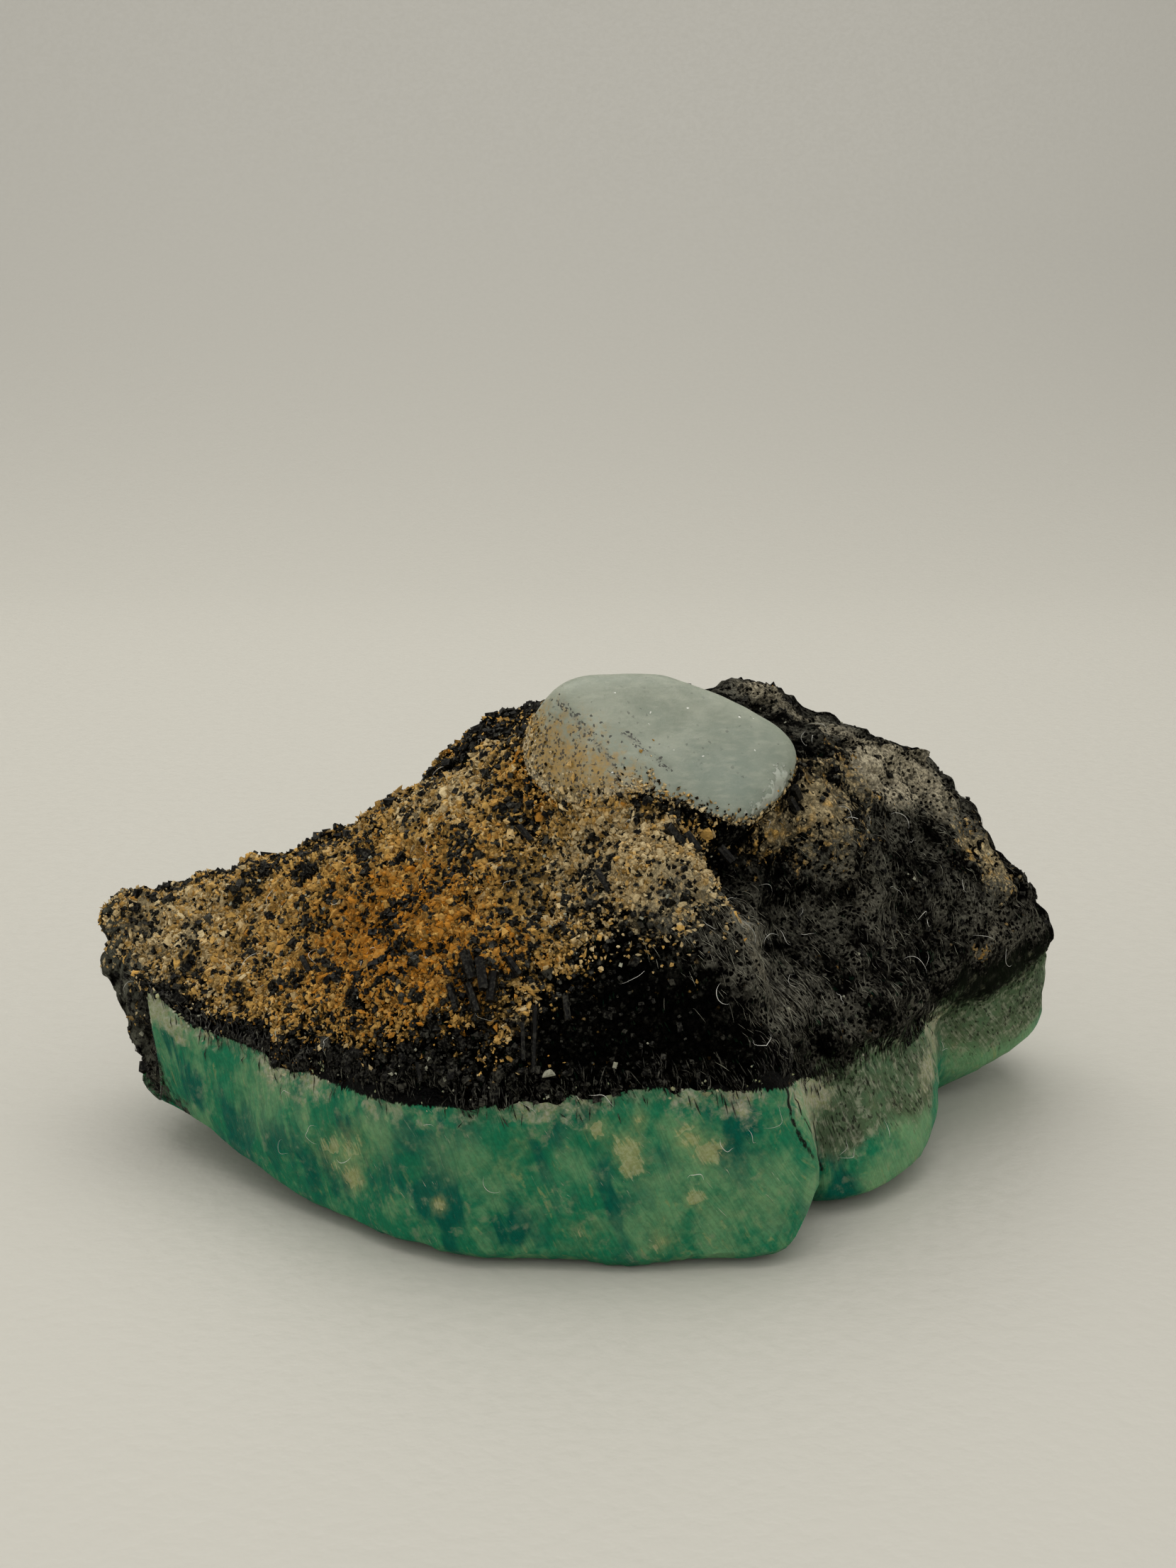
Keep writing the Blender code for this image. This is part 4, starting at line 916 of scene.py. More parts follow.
@functools.lru_cache(maxsize=None)
def grain_cells():
    """Angular grains packed side by side: a random pick and tone for each grain, and its height."""
    tree, bench, entry, send = new_group("grain_cells", "Pick Tone Height", Vector=None, Size=0.4 * MM)
    place, size = entry["Vector"], entry["Size"]
    scale = bench.math("DIVIDE", 1.0, size)
    warp = bench.node("TexNoise", {"Vector": place, "Scale": scale, "Detail": 2.0}).outputs["Color"]
    centred = bench.vector("SUBTRACT", warp, (0.5, 0.5, 0.5))
    reach = bench.node("VectorMath", {0: centred, "Scale": size}, operation="SCALE").outputs[0]
    cell = bench.node("TexVoronoi", {"Vector": bench.vector("ADD", place, reach), "Scale": scale}).outputs
    parts = bench.node("SeparateColor", {"Color": cell["Color"]}).outputs
    send("Pick", parts["Red"])
    send("Tone", parts["Green"])
    send("Height", bench.fit(cell["Distance"], 0.1, 0.75, 1.0, 0.0))
    return tree


@functools.lru_cache(maxsize=None)
def felt_streaks():
    """Fine streaks that follow the surface, from 0 to 1; a lean slants them."""
    sizes = {"Width": 0.2 * MM, "Length": 2 * MM, "Lean": 0.4}
    tree, bench, entry, send = new_group("felt_streaks", "Streak", Flow=None, **sizes)
    flow = bench.xyz(entry["Flow"])
    slanted = bench.sum(flow["X"], bench.product(flow["Y"], entry["Lean"]))
    across = bench.math("DIVIDE", slanted, entry["Width"])
    along = bench.math("DIVIDE", flow["Y"], entry["Length"])
    stretched = bench.node("CombineXYZ", {0: across, 1: along}).outputs[0]
    send("Streak", bench.noise(stretched, 1.0, detail=2.0, distortion=0.6))
    return tree


@functools.lru_cache(maxsize=None)
def feldspar_cloud():
    """The milky clouds inside feldspar, with fine mottling: two clouds from 0 to 1, and a height."""
    tree, bench, entry, send = new_group("feldspar_cloud", "Cloud Mottle Height", Vector=None, Size=4 * MM)
    place, scale = entry["Vector"], bench.math("DIVIDE", 1.0, entry["Size"])
    cloud = bench.noise(place, scale, detail=4.0, roughness=0.6, distortion=0.8)
    mottle = bench.noise(place, bench.product(scale, 4.5), detail=4.0, roughness=0.65, distortion=0.3)
    send("Cloud", bench.fit(cloud, 0.33, 0.67))
    send("Mottle", bench.fit(mottle, 0.3, 0.7))
    send("Height", bench.weighted((cloud, 0.4), (mottle, 0.6)))
    return tree


def weathered_tint(bench, warmth, tan, ochre, orange):
    """From tan through ochre to orange by the warmth."""
    light = bench.mix(bench.fit(warmth, 0.0, 0.4), tan, ochre)
    return bench.mix(bench.fit(warmth, 0.45, 1.0), light, orange)


@functools.lru_cache(maxsize=None)
def tourmaline_rock():
    """The dark rock: black grains, a share of them weathered to ochre, and a felt of grey streaks with
    black pits where the felt mask is high. The weathering goes from tan through ochre to orange."""
    tree, bench, entry, send = new_group(
        "tourmaline_rock", "Color Roughness Height", Vector=None, Flow=None,
        **dict.fromkeys(ROCK_COLOURS, MID_GREY), **dict.fromkeys(ROCK_MASKS, 0.0),
    )
    place, flow, coverage, felt = (entry[label] for label in ("Vector", "Flow", "Coverage", "Felt"))
    black, grey, tan = (entry[label] for label in ("Black", "Grey", "Tan"))
    grains, crumbs, holes = (bench.cells(place, size) for size in (0.44, 0.17, 0.31))

    # A grain is weathered where the coverage, which is patchy, is over the grain's random pick.
    patch = bench.product(bench.swing(bench.noise(place, 420.0), 0.25), bench.fit(coverage, 0.0, 0.3))
    pick = bench.weighted((grains["Pick"], 0.68), (crumbs["Pick"], 0.32))
    weathered = bench.fit(bench.math("SUBTRACT", bench.sum(coverage, patch), pick), -0.05, 0.05)
    tone = bench.weighted((grains["Tone"], 0.55), (crumbs["Tone"], 0.45))
    shift = bench.swing(bench.noise(place, 900.0), 0.2)
    warmth = bench.sum(entry["Warmth"], shift, bench.fit(grains["Tone"], 0.0, 1.0, -0.15, 0.15))
    light = weathered_tint(bench, warmth, tan, entry["Ochre"], entry["Orange"])
    light = bench.mix(bench.fit(tone, 0.15, 0.8, 0.85, 0.0), light, bench.mix(0.8, light, DARK_EARTH))
    dark = bench.mix(bench.fit(tone, 0.6, 0.95, 0.0, 0.35), black, grey)
    color = bench.mix(weathered, bench.mix(entry["Bare"], dark, black), light)

    # Painted shade darkens the gaps between grains, less so where weathering or felt fills them.
    lit = bench.fit(bench.sum(grains["Height"], bench.product(crumbs["Height"], 0.6)), 0.25, 1.3, 0.12, 1.0)
    filled = bench.product(bench.math("SUBTRACT", 1.0, lit), bench.fit(coverage, 0.55, 0.95, 0.0, 0.6))
    shaded = bench.shaded(color, bench.sum(lit, filled))
    color = bench.mix(bench.fit(felt, 0.0, 0.8, 1.0, 0.35), color, shaded)

    # The felt: fine strands and a net of wider ones, over black holes.
    fine, wide = bench.streaks(flow, 0.11, 0.9, 0.45), bench.streaks(flow, 0.42, 1.1, 0.3)
    strands = bench.weighted((fine, 0.5), (wide, 0.5))
    edges = bench.sum(holes["Height"], bench.fit(holes["Pick"], 0.0, 1.0, 0.35, -0.35))
    net = bench.fit(edges, 0.35, 0.75, 1.0, 0.0)
    worn = bench.swing(bench.noise(place, 420.0, detail=4.0, roughness=0.6), 0.17)
    matted = bench.fit(felt, 0.6, 1.0, 0.0, 0.12)
    thick = bench.sum(bench.weighted((strands, 0.45), (net, 0.28), (felt, 0.3)), worn, matted)
    felted = bench.product(bench.fit(thick, 0.5, 0.8), bench.fit(felt, 0.0, 0.3))
    bright = bench.mix(0.45, tan, BRIGHT_FIBRE)
    fibres = bench.mix(bench.fit(felt, 0.5, 1.0), bench.mix(0.6, grey, black), bright)
    fibres = bench.mix(bench.fit(crumbs["Tone"], 0.2, 0.8, 0.6, 0.0), fibres, black)
    color = bench.mix(felted, color, fibres)
    rind = bench.mix(bench.fit(bench.noise(place, 1300.0), 0.35, 0.65), entry["Crust"], black)
    send("Color", bench.mix(entry["Rind"], color, rind))
    send("Roughness", bench.fit(bench.math("MAXIMUM", weathered, felted), 0.0, 1.0, 0.55, 0.92))
    send("Height", bench.weighted((grains["Height"], 0.9), (crumbs["Height"], 0.35), (strands, 0.6)))
    return tree


@functools.lru_cache(maxsize=None)
def amazonite_face():
    """Amazonite: clouded green with clear teal columns, paler and deeper in places, thin slanting pale
    veins and yellowish blotches, a crumbled whitish rim, dark cracks, and a grey film with dark flecks
    where tourmaline lies over it."""
    tree, bench, entry, send = new_group(
        "amazonite_face", "Color Roughness Height", Vector=None, Flow=None,
        **dict.fromkeys(FACE_COLOURS, MID_GREY), **dict.fromkeys(FACE_MASKS, 0.0),
    )
    place, flow, skin, blotch = (entry[label] for label in ("Vector", "Flow", "Skin", "Blotch"))
    pale, yellow, white, needle = (entry[label] for label in ("Pale", "Yellow", "White", "Needle"))
    parts = bench.xyz(flow)
    slanted = bench.sum(parts["X"], bench.product(parts["Y"], 0.35))
    drawn_out = bench.node("CombineXYZ", {0: slanted, 1: bench.product(parts["Y"], 0.5)}).outputs[0]
    cloud, fine = bench.cloud(place, 4.2), bench.cloud(place, 1.2)
    flecks = bench.cells(drawn_out, 0.13)
    columns = bench.swing(bench.streaks(flow, 1.5, 6.0, 0.3), 0.34)
    wide = bench.swing(bench.streaks(flow, 0.5, 4.0, 0.45), 0.5)
    grain = bench.swing(bench.streaks(flow, 0.16, 2.2, 0.5), 0.5)
    soft = bench.swing(bench.noise(place, 330.0, roughness=0.5, distortion=0.4), 0.35)
    ragged = bench.swing(bench.noise(place, 1600.0, detail=4.0, roughness=0.6), 0.35)
    angular = bench.fit(bench.cells(place, 1.2)["Pick"], 0.0, 1.0, -0.3, 0.3)

    # Clear teal columns with milk between them, and paler patches.
    deep = bench.sum(entry["Depth"], columns, bench.weighted((soft, 0.8), (wide, 0.12)))
    deep = bench.fit(deep, 0.02, 0.7)
    clear = bench.math("SUBTRACT", 1.0, deep)
    color = bench.mix(deep, entry["Green"], entry["Deep"])
    milk = bench.weighted((cloud["Cloud"], 0.55), (fine["Cloud"], 0.2), (wide, 0.14))
    color = bench.mix(bench.product(bench.fit(milk, 0.22, 0.72, 0.0, 0.62), clear), color, pale)
    milky = bench.sum(entry["Paleness"], bench.weighted((soft, 0.6), (wide, 0.1), (ragged, 0.15)))
    color = bench.mix(bench.fit(milky, 0.1, 1.0, 0.0, 0.85), color, pale)

    # Thin veins, blotches of flakes with a halo, and white hairlines.
    veins = bench.product(bench.fit(bench.streaks(flow, 0.4, 2.2, 0.45), 0.56, 0.72), clear, 0.4)
    color = bench.mix(bench.product(veins, bench.fit(cloud["Mottle"], 0.4, 0.8)), color, yellow)
    halo = bench.sum(blotch, bench.product(ragged, 0.5))
    color = bench.mix(bench.fit(halo, 0.0, 1.2, 0.0, 0.5), color, yellow)
    flaked = bench.sum(blotch, bench.weighted((angular, 0.6), (ragged, 0.24), (grain, 0.24)))
    mottled = bench.mix(bench.fit(fine["Mottle"], 0.2, 0.9), yellow, bench.mix(0.4, yellow, white))
    color = bench.mix(bench.fit(flaked, 0.56, 0.7, 0.0, 0.55), color, mottled)
    hair = bench.fit(bench.streaks(flow, 0.09, 1.2, 0.55), 0.68, 0.74, 0.0, 0.7)
    color = bench.mix(bench.product(hair, bench.fit(soft, -0.1, 0.2)), color, white)

    # The film of tourmaline: grey, dusted with white, and darker and flecked where it is thick.
    film = bench.sum(skin, bench.weighted((soft, 0.4), (ragged, 0.4)))
    film = bench.fit(film, 0.1, 1.05, 0.0, 0.88)
    dusted = bench.fit(bench.sum(ragged, bench.product(grain, 0.4)), -0.1, 0.45, 0.0, 0.42)
    color = bench.mix(film, color, bench.mix(dusted, entry["Film"], white))
    thick = bench.sum(skin, bench.product(soft, 0.5))
    color = bench.mix(bench.fit(thick, 0.7, 1.8, 0.0, 0.85), color, needle)
    density = bench.fit(bench.sum(skin, bench.product(soft, 0.3)), 0.8, 1.9, 0.05, 1.0)
    flecked = bench.fit(bench.math("SUBTRACT", density, flecks["Pick"]), -0.1, 0.1)
    color = bench.mix(bench.product(flecked, bench.fit(skin, 0.1, 0.5, 0.0, 0.78)), color, needle)

    # The crumbled rim and the cracks, then a fine mottle over all.
    rim = bench.sum(entry["Rim"], bench.weighted((ragged, 0.8), (angular, 0.5)))
    rim = bench.fit(rim, 0.12, 1.0)
    whitish = bench.mix(fine["Mottle"], white, bench.mix(0.5, entry["Film"], yellow))
    color = bench.mix(bench.product(rim, 0.9), color, whitish)
    cracked = bench.product(entry["Split"], bench.fit(ragged, -0.35, 0.1, 0.4, 1.0))
    color = bench.mix(bench.fit(cracked, 0.2, 0.6, 0.0, 0.97), color, needle)
    shade = bench.fit(bench.weighted((fine["Mottle"], 0.6), (grain, 0.4)), -0.1, 0.7, 0.86, 1.12)
    send("Color", bench.shaded(color, shade))
    rough = bench.product(bench.math("MAXIMUM", rim, film), 0.3)
    send("Roughness", bench.sum(bench.fit(fine["Mottle"], 0.0, 1.0, 0.36, 0.52), rough))
    send("Height", bench.weighted((fine["Height"], 0.5), (grain, 0.25)))
    return tree


def new_material(name):
    material = bpy.data.materials.new(name)
    material.use_nodes = True
    return material, Bench(material.node_tree)


def finish_material(bench, color, roughness, height=None, bump=0.0, **shader_values):
    """The end of every material: a Principled shader with colour, roughness and bump from nodes, and
    its other values, such as Subsurface_Weight, set on its own sockets."""
    shader = bench.tree.nodes["Principled BSDF"].inputs
    bench.put(shader["Base Color"], color)
    bench.put(shader["Roughness"], roughness)
    if height is not None:
        bumped = bench.node("Bump", {"Height": height, "Strength": 1.0, "Distance": bump * MM})
        bench.put(shader["Normal"], bumped.outputs["Normal"])
    for label, value in shader_values.items():
        shader[label.replace("_", " ")].default_value = value


def rgba(colour):
    return (*colour, 1.0)


def dimmed(colour, share):
    return tuple(np.array(colour) * share)


def inputs_for(bench, tints, colours, masks):
    """Tints and painted values for a group's inputs, by one of the tables above."""
    tinted = {label: rgba(getattr(tints, name)) for label, name in colours.items()}
    return {**tinted, **{label: bench.value(name) for label, name in masks.items()}}


def skin_material(name, tints, subsurface, gloss):
    """The two looks of the stone's skin side by side, mixed by how green the spot is. Slab and rock
    both use it, so they match where they meet."""
    material, bench = new_material(name)
    place, flow = bench.place(), bench.flow()
    rock_inputs = inputs_for(bench, tints, ROCK_COLOURS, ROCK_MASKS)
    face_inputs = inputs_for(bench, tints, FACE_COLOURS, FACE_MASKS)
    rock = bench.group(tourmaline_rock(), Vector=place, Flow=flow, **rock_inputs)
    face = bench.group(amazonite_face(), Vector=place, Flow=flow, **face_inputs)
    edge = bench.weighted((bench.noise(place, 1500.0), 0.5), (bench.streaks(flow, 0.14, 0.9, 0.3), 0.5))
    green = bench.sum(bench.value("green"), bench.fit(edge, 0.35, 0.65, -0.35, 0.35))
    green = bench.fit(green, 0.3, 0.7)
    other = bench.math("SUBTRACT", 1.0, green)
    finish_material(
        bench, bench.mix(green, rock["Color"], face["Color"]),
        bench.weighted((rock["Roughness"], other), (face["Roughness"], green)),
        bench.weighted((rock["Height"], other), (bench.product(face["Height"], 0.4), green)), bump=0.22,
        Subsurface_Weight=subsurface, Subsurface_Radius=(0.35, 1.0, 0.6), Subsurface_Scale=1.2 * MM,
        IOR=1.52, Specular_IOR_Level=gloss,
    )
    return material


def knob_material(tints):
    """The worn knob: milky clouds and fibres, a bluish band that is also painted shade on its front
    and right, a rusty stain, a broken edge, sand round its foot, and dirt along its cracks."""
    material, bench = new_material("worn_feldspar")
    place = bench.place()
    stain, sand, crack = (bench.value(name) for name in ("stain", "sand", "crack"))
    milky, rust, crust = (rgba(colour) for colour in (tints.feldspar_milky, tints.stain, tints.crust))
    cloud, fine, specks = bench.cloud(place, 3.2), bench.cloud(place, 0.9), bench.cells(place, 0.15)

    color = bench.mix(bench.product(cloud["Cloud"], 0.5), rgba(tints.feldspar), milky)
    # Painted shade: the bluish band's darker tint over the knob's front and right.
    color = bench.mix(bench.product(bench.value("blush"), 0.6), color, rgba(tints.feldspar_blue_and_shade))
    layered = bench.vector("MULTIPLY", place, (0.45, 0.8, 2.0))
    fibrous = bench.noise(layered, 1500.0, detail=4.0, roughness=0.6)
    color = bench.mix(bench.fit(fibrous, 0.42, 0.72, 0.0, 0.4), color, milky)

    blotched = bench.sum(stain, bench.fit(fine["Cloud"], 0.0, 1.0, -0.2, 0.2))
    blotched = bench.sum(blotched, bench.swing(bench.noise(place, 3400.0), 0.2))
    soaked = bench.product(bench.fit(blotched, 0.0, 1.0, 0.0, 0.92), bench.fit(stain, 0.0, 0.3))
    rusty = bench.mix(bench.fit(fine["Mottle"], 0.1, 0.9), rust, bench.mix(0.4, rust, crust))
    color = bench.mix(soaked, color, rusty)
    shattered = bench.sum(bench.value("broken"), bench.swing(bench.noise(place, 2600.0), 0.35))
    broken = bench.fit(shattered, 0.35, 0.7)
    color = bench.mix(bench.product(broken, 0.8), color, FRESH_BREAK)

    sandy = bench.mix(bench.fit(specks["Tone"], 0.2, 0.8), rgba(tints.tan), bench.mix(0.8, rust, crust))
    covered = bench.fit(bench.sum(sand, bench.fit(specks["Pick"], 0.0, 1.0, -0.4, 0.4)), 0.3, 0.6)
    color = bench.mix(bench.product(covered, bench.fit(sand, 0.0, 0.3)), color, sandy)
    near = bench.weighted((stain, 0.18), (crack, 0.42))
    dirt = bench.fit(bench.math("SUBTRACT", near, specks["Pick"]), -0.02, 0.02)
    color = bench.mix(bench.product(dirt, 0.85), color, rgba(tints.tourmaline))
    line = bench.product(crack, bench.fit(bench.noise(place, 1800.0), 0.35, 0.6), 0.6)
    color = bench.mix(line, color, crust)
    dust = bench.fit(bench.cells(place, 0.12)["Tone"], 0.9985, 0.9995)
    color = bench.mix(dust, color, WHITE_DUST)
    finish_material(
        bench, color, bench.fit(fine["Mottle"], 0.0, 1.0, 0.34, 0.5),
        bench.weighted((fine["Height"], 0.3), (broken, 0.6)), bump=0.15,
        Subsurface_Weight=0.35, Subsurface_Radius=(0.8, 1.0, 0.85), Subsurface_Scale=1.5 * MM, IOR=1.52,
    )
    return material


def grain_material(name, low, high, warm, roughness, subsurface=0.0, gloss=0.2, tan=None):
    """For joined small pieces: from `low` to a lighter colour by each piece's own tone, with a fine
    mottle. The lighter colour goes by the piece's warmth, from `high` to `warm`, or from `tan` through
    `high` to `warm`."""
    material, bench = new_material(name)
    mottle = bench.swing(bench.noise(bench.place(), 5200.0, detail=2.0), 0.25)
    tone, warmth = bench.sum(bench.value("tone"), mottle), bench.value("warmth")
    if tan is None:
        light = bench.mix(warmth, rgba(high), rgba(warm))
    else:
        light = weathered_tint(bench, warmth, rgba(tan), rgba(high), rgba(warm))
    finish_material(
        bench, bench.mix(tone, rgba(low), light), roughness, Subsurface_Weight=subsurface,
        Subsurface_Scale=0.4 * MM, IOR=1.55, Specular_IOR_Level=gloss,
    )
    return material


# ---------------------------------------------------------------- what a user can change
def whole(name, description, default, least=1):
    return IntProperty(name=name, description=description, default=default, min=least)


def tint(name, description, default):
    return FloatVectorProperty(
        name=name, description=description, default=default, subtype="COLOR", size=3, min=0, max=1,
    )


class StoneSizes(bpy.types.PropertyGroup):
    """Counts and sizes of the stone's small pieces."""

    stations: whole("Stations", "Steps round the stone", 760, least=100)
    ragged: FloatProperty(
        name="Ragged seam", description="How far the seam wavers, as a share", default=1.0, min=0,
    )
    ochre_grains: whole("Ochre grains", "Loose weathered grains", 4500)
    ochre_crumbs: whole("Ochre crumbs", "Smaller weathered shards", 23000)
    black_grains: whole("Black grains", "Loose tourmaline grains", 11500)
    knob_crumbs: whole("Knob crumbs", "Crumbs round the knob's foot", 2400)
    needles: whole("Needles", "Fine dark needles along the seam", 1500)
    fibres: whole("Fibres", "Fine grey fibres of the felt", 1700)
    rim_crumbs: whole("Rim crumbs", "Pale crumbs along the seam", 420)
    lint: whole("Lint", "Curled fibres of lint on the stone", 70)
    grain_size: FloatProperty(
        name="Grain size", description="Middle radius of a loose grain", default=0.2 * MM, min=0,
        subtype="DISTANCE", unit="LENGTH",
    )


class StoneTints(bpy.types.PropertyGroup):
    """Colours of the minerals."""

    amazonite: tint("Amazonite", "Main green of the slab", (0.009, 0.148, 0.071))
    amazonite_deep: tint("Deep amazonite", "Clear teal parts", (0.0002, 0.086, 0.057))
    # Milky parts, and the painted glow of light through thin edges.
    amazonite_pale: tint("Pale amazonite", "Milky parts and thin edges", (0.15, 0.29, 0.137))
    vein: tint("Vein", "Yellowish veins and blotches", (0.31, 0.31, 0.125))
    rim: tint("Rim", "Crumbled whitish rim", (0.42, 0.42, 0.32))
    film: tint("Film", "Grey film over the lobes", (0.088, 0.118, 0.062))
    tourmaline: tint("Tourmaline", "Black crystals", (0.0018, 0.0016, 0.0013))
    grey: tint("Felt", "Grey fibres", (0.27, 0.26, 0.205))
    tan: tint("Tan", "Pale weathered grains", (0.62, 0.50, 0.285))
    ochre: tint("Ochre", "Weathered grains", (0.60, 0.365, 0.105))
    orange: tint("Orange", "Iron-stained grains", (0.47, 0.19, 0.02))
    crust: tint("Rind", "Grey-brown rind", (0.13, 0.13, 0.10))
    feldspar: tint("Feldspar", "Knob", (0.205, 0.235, 0.18))
    feldspar_milky: tint("Milky feldspar", "Whiter clouds in the knob", (0.35, 0.365, 0.29))
    # The bluish band's tint, darker than the feldspar, is also painted shade on the knob's front and right.
    feldspar_blue_and_shade: tint("Blue feldspar", "Bluish band in the knob", (0.145, 0.195, 0.165))
    stain: tint("Stain", "Rusty stain on the knob", (0.37, 0.225, 0.04))
    floor: tint("Floor", "Floor", (0.515, 0.503, 0.455))
    # The backdrop tint is painted shade: the sheet's far end is made darker than the floor.
    backdrop: tint("Backdrop", "Far end of the sheet", (0.345, 0.337, 0.308))


class StoneOperator(bpy.types.Operator):
    """Shared ways of the operators below."""

    bl_options = {"REGISTER", "UNDO"}

    def execute(self, context):
        self.make(context.scene.stone_sizes, context.scene.stone_tints)
        return {"FINISHED"}


class STONE_OT_amazonite_slab(StoneOperator):
    """Make the green slab, with its cleaved faces"""

    bl_idname = "stone.amazonite_slab"
    bl_label = "Amazonite slab"

    def make(self, sizes, tints):
        skin = stone_skin(sizes.stations, sizes.ragged)
        seam = skin.seam
        bed = disc_rows(skin.points[0], BED_CENTRE, 3, 1.0)[::-1]
        top = disc_rows(skin.points[seam], SLAB_TOP, 5, JOINT_BEND)
        rows = np.concatenate([bed, skin.points[: seam + 1], top])
        masks = finish_masks(skin)
        masks = {key: padded(value[: seam + 1], len(bed), len(top)) for key, value in masks.items()}
        flow = np.concatenate([bed, padded(flow_of(skin)[: seam + 1], 0, len(top))])
        material = skin_material("amazonite", tints, subsurface=0.3, gloss=0.06)
        piece = painted_surface("green_slab", rows, BED_CENTRE, SLAB_TOP, material, masks, flow)
        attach(piece, BODY)
        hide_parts("amazonite_slab")


class STONE_OT_tourmaline_matrix(StoneOperator):
    """Make the dark grainy rock over the slab"""

    bl_idname = "stone.tourmaline_matrix"
    bl_label = "Tourmaline rock"

    def make(self, sizes, tints):
        skin = stone_skin(sizes.stations, sizes.ragged)
        seam = skin.seam
        joint = disc_rows(skin.points[seam], JOINT_CENTRE, 4, JOINT_BEND)[::-1]
        socket = np.array([
            knob_point(
                knob_direction(skin.turn, skin.tilt + (-np.pi / 2 - skin.tilt) * share),
                grow=-COLLAR_SINK - (SOCKET_SINK - COLLAR_SINK) * share,
            )
            for share in (0.2, 0.4, 0.6, 0.8)
        ])
        rows = np.concatenate([joint, skin.points[seam:], socket])
        masks = finish_masks(skin)
        masks["green"] = np.minimum(masks["green"], patchy(skin.points, GREEN_SKIN))
        masks = {key: padded(value[seam:], len(joint), len(socket)) for key, value in masks.items()}
        flow = padded(flow_of(skin)[seam:], len(joint), len(socket))
        floor = knob_point(-knob_axes()[2][None], grow=-SOCKET_SINK)[0]
        material = skin_material("tourmaline_rock", tints, subsurface=0.0, gloss=0.005)
        piece = painted_surface("dark_rock", rows, JOINT_CENTRE, floor, material, masks, flow)
        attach(piece, BODY)
        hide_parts("tourmaline_matrix")


class STONE_OT_feldspar_knob(StoneOperator):
    """Make the pale worn knob: a ball's points sent out to the knob's worn faces, then cracked and broken"""

    bl_idname = "stone.feldspar_knob"
    bl_label = "Feldspar knob"

    def make(self, sizes, tints):
        direction, faces = ball_shape(6)
        direction = unit(direction)
        points = knob_point(direction)
        crack = in_cracks(points, KNOB_CRACKS)
        broken = np.exp(-((distance_to_line(points, KNOB_BREAK) / BREAK_WIDTH) ** 2))
        relief = layered_noise(points, KNOB_WAVES)
        chips = np.floor(2.5 * lattice_noise(points, 0.8, 63)) * KNOB_CHIPS * broken
        points = points + direction * (relief - CRACK_DEPTH * crack + chips)[:, None]
        piece = new_mesh("pale_knob", points, faces, knob_material(tints), smooth=True)
        stain = patchy(points, KNOB_STAIN)
        right, back, out = knob_axes()
        collar = collar_tilt(np.arctan2(direction @ back, direction @ right))
        over = np.degrees(np.arcsin(np.clip(direction @ out, -1, 1)) - collar)
        sand = smooth_step((10 - over) / 14) * smooth_step(0.1 + stain)      # from 10 degrees over the collar
        # The bluish band, placed on the knob's front and right, where it is also painted shade.
        blush = patchy(points, KNOB_BLUE_AND_SHADE)
        paint(piece, crack=np.clip(crack, 0, 1), broken=broken, stain=stain, blush=blush, sand=sand)
        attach(piece, BODY)
        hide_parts("feldspar_knob")


def loose_grains(name, shape, skin, spots, sizes, jitter, rng, material, upright, sink, **values):
    """Loose grains at spots on the skin. A spot is a row, a station and the grain's radius, and `sizes`
    stretches the grain three ways. Each lies in a random way, or stands up from the skin by the share
    `upright`, and sinks into it by a share of its width."""
    row, station, radius = spots
    centres = at_spots(skin.points, row, station)
    normals = unit(at_spots(skin.normals, row, station))
    axis = rng.normal(size=centres.shape) * (1 - upright) + normals * upright
    centres = centres + normals * (radius * (1 - 2 * sink))[:, None]
    scales = radius[:, None] * sizes
    return joined(name, shape, centres, frames_along(axis, rng), scales, jitter, rng, material, **values)


def weathered_grains(skin, masks, clumps, sizes, tints, rng):
    """The ochre grains, and smaller crumbs between them, both in clumps."""
    rows = (skin.seam, len(skin.points) - 1)
    radius = sizes.grain_size / MM
    darkest = dimmed(tints.ochre, 0.2)
    material = grain_material(
        "ochre_grain", darkest, tints.ochre, tints.orange, 0.9, gloss=0.03, tan=tints.tan,
    )
    for name, shape, count, share, sharpness in (
        ("ochre_grains", ball_shape(1), sizes.ochre_grains, 1.0, 2.0),
        ("ochre_crumbs", shard_shape(), sizes.ochre_crumbs, 0.72, 1.2),
    ):
        weight = masks["loose"] ** sharpness * (0.08 + clumps)
        row, station = picked_spots(rng, skin, rows, weight, count)
        size = share * radius * rng.lognormal(0.0, 0.32, count)
        warmth = np.clip(at_spots(masks["warmth"], row, station) + rng.normal(0, 0.22, count), 0, 1)
        stretch = rng.uniform((0.9, 0.6, 0.35), (1.4, 1.0, 0.75), (count, 3))
        piece = loose_grains(
            name, shape, skin, (row, station, size), stretch, 0.5, rng, material, upright=0.3, sink=0.5,
            tone=rng.beta(1.9, 1.5, count), warmth=warmth,
        )
        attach(piece, BODY)


# The share of the black grains that is made pale as painted glints.
GLINT_SHARE = 0.035          # of the black grains


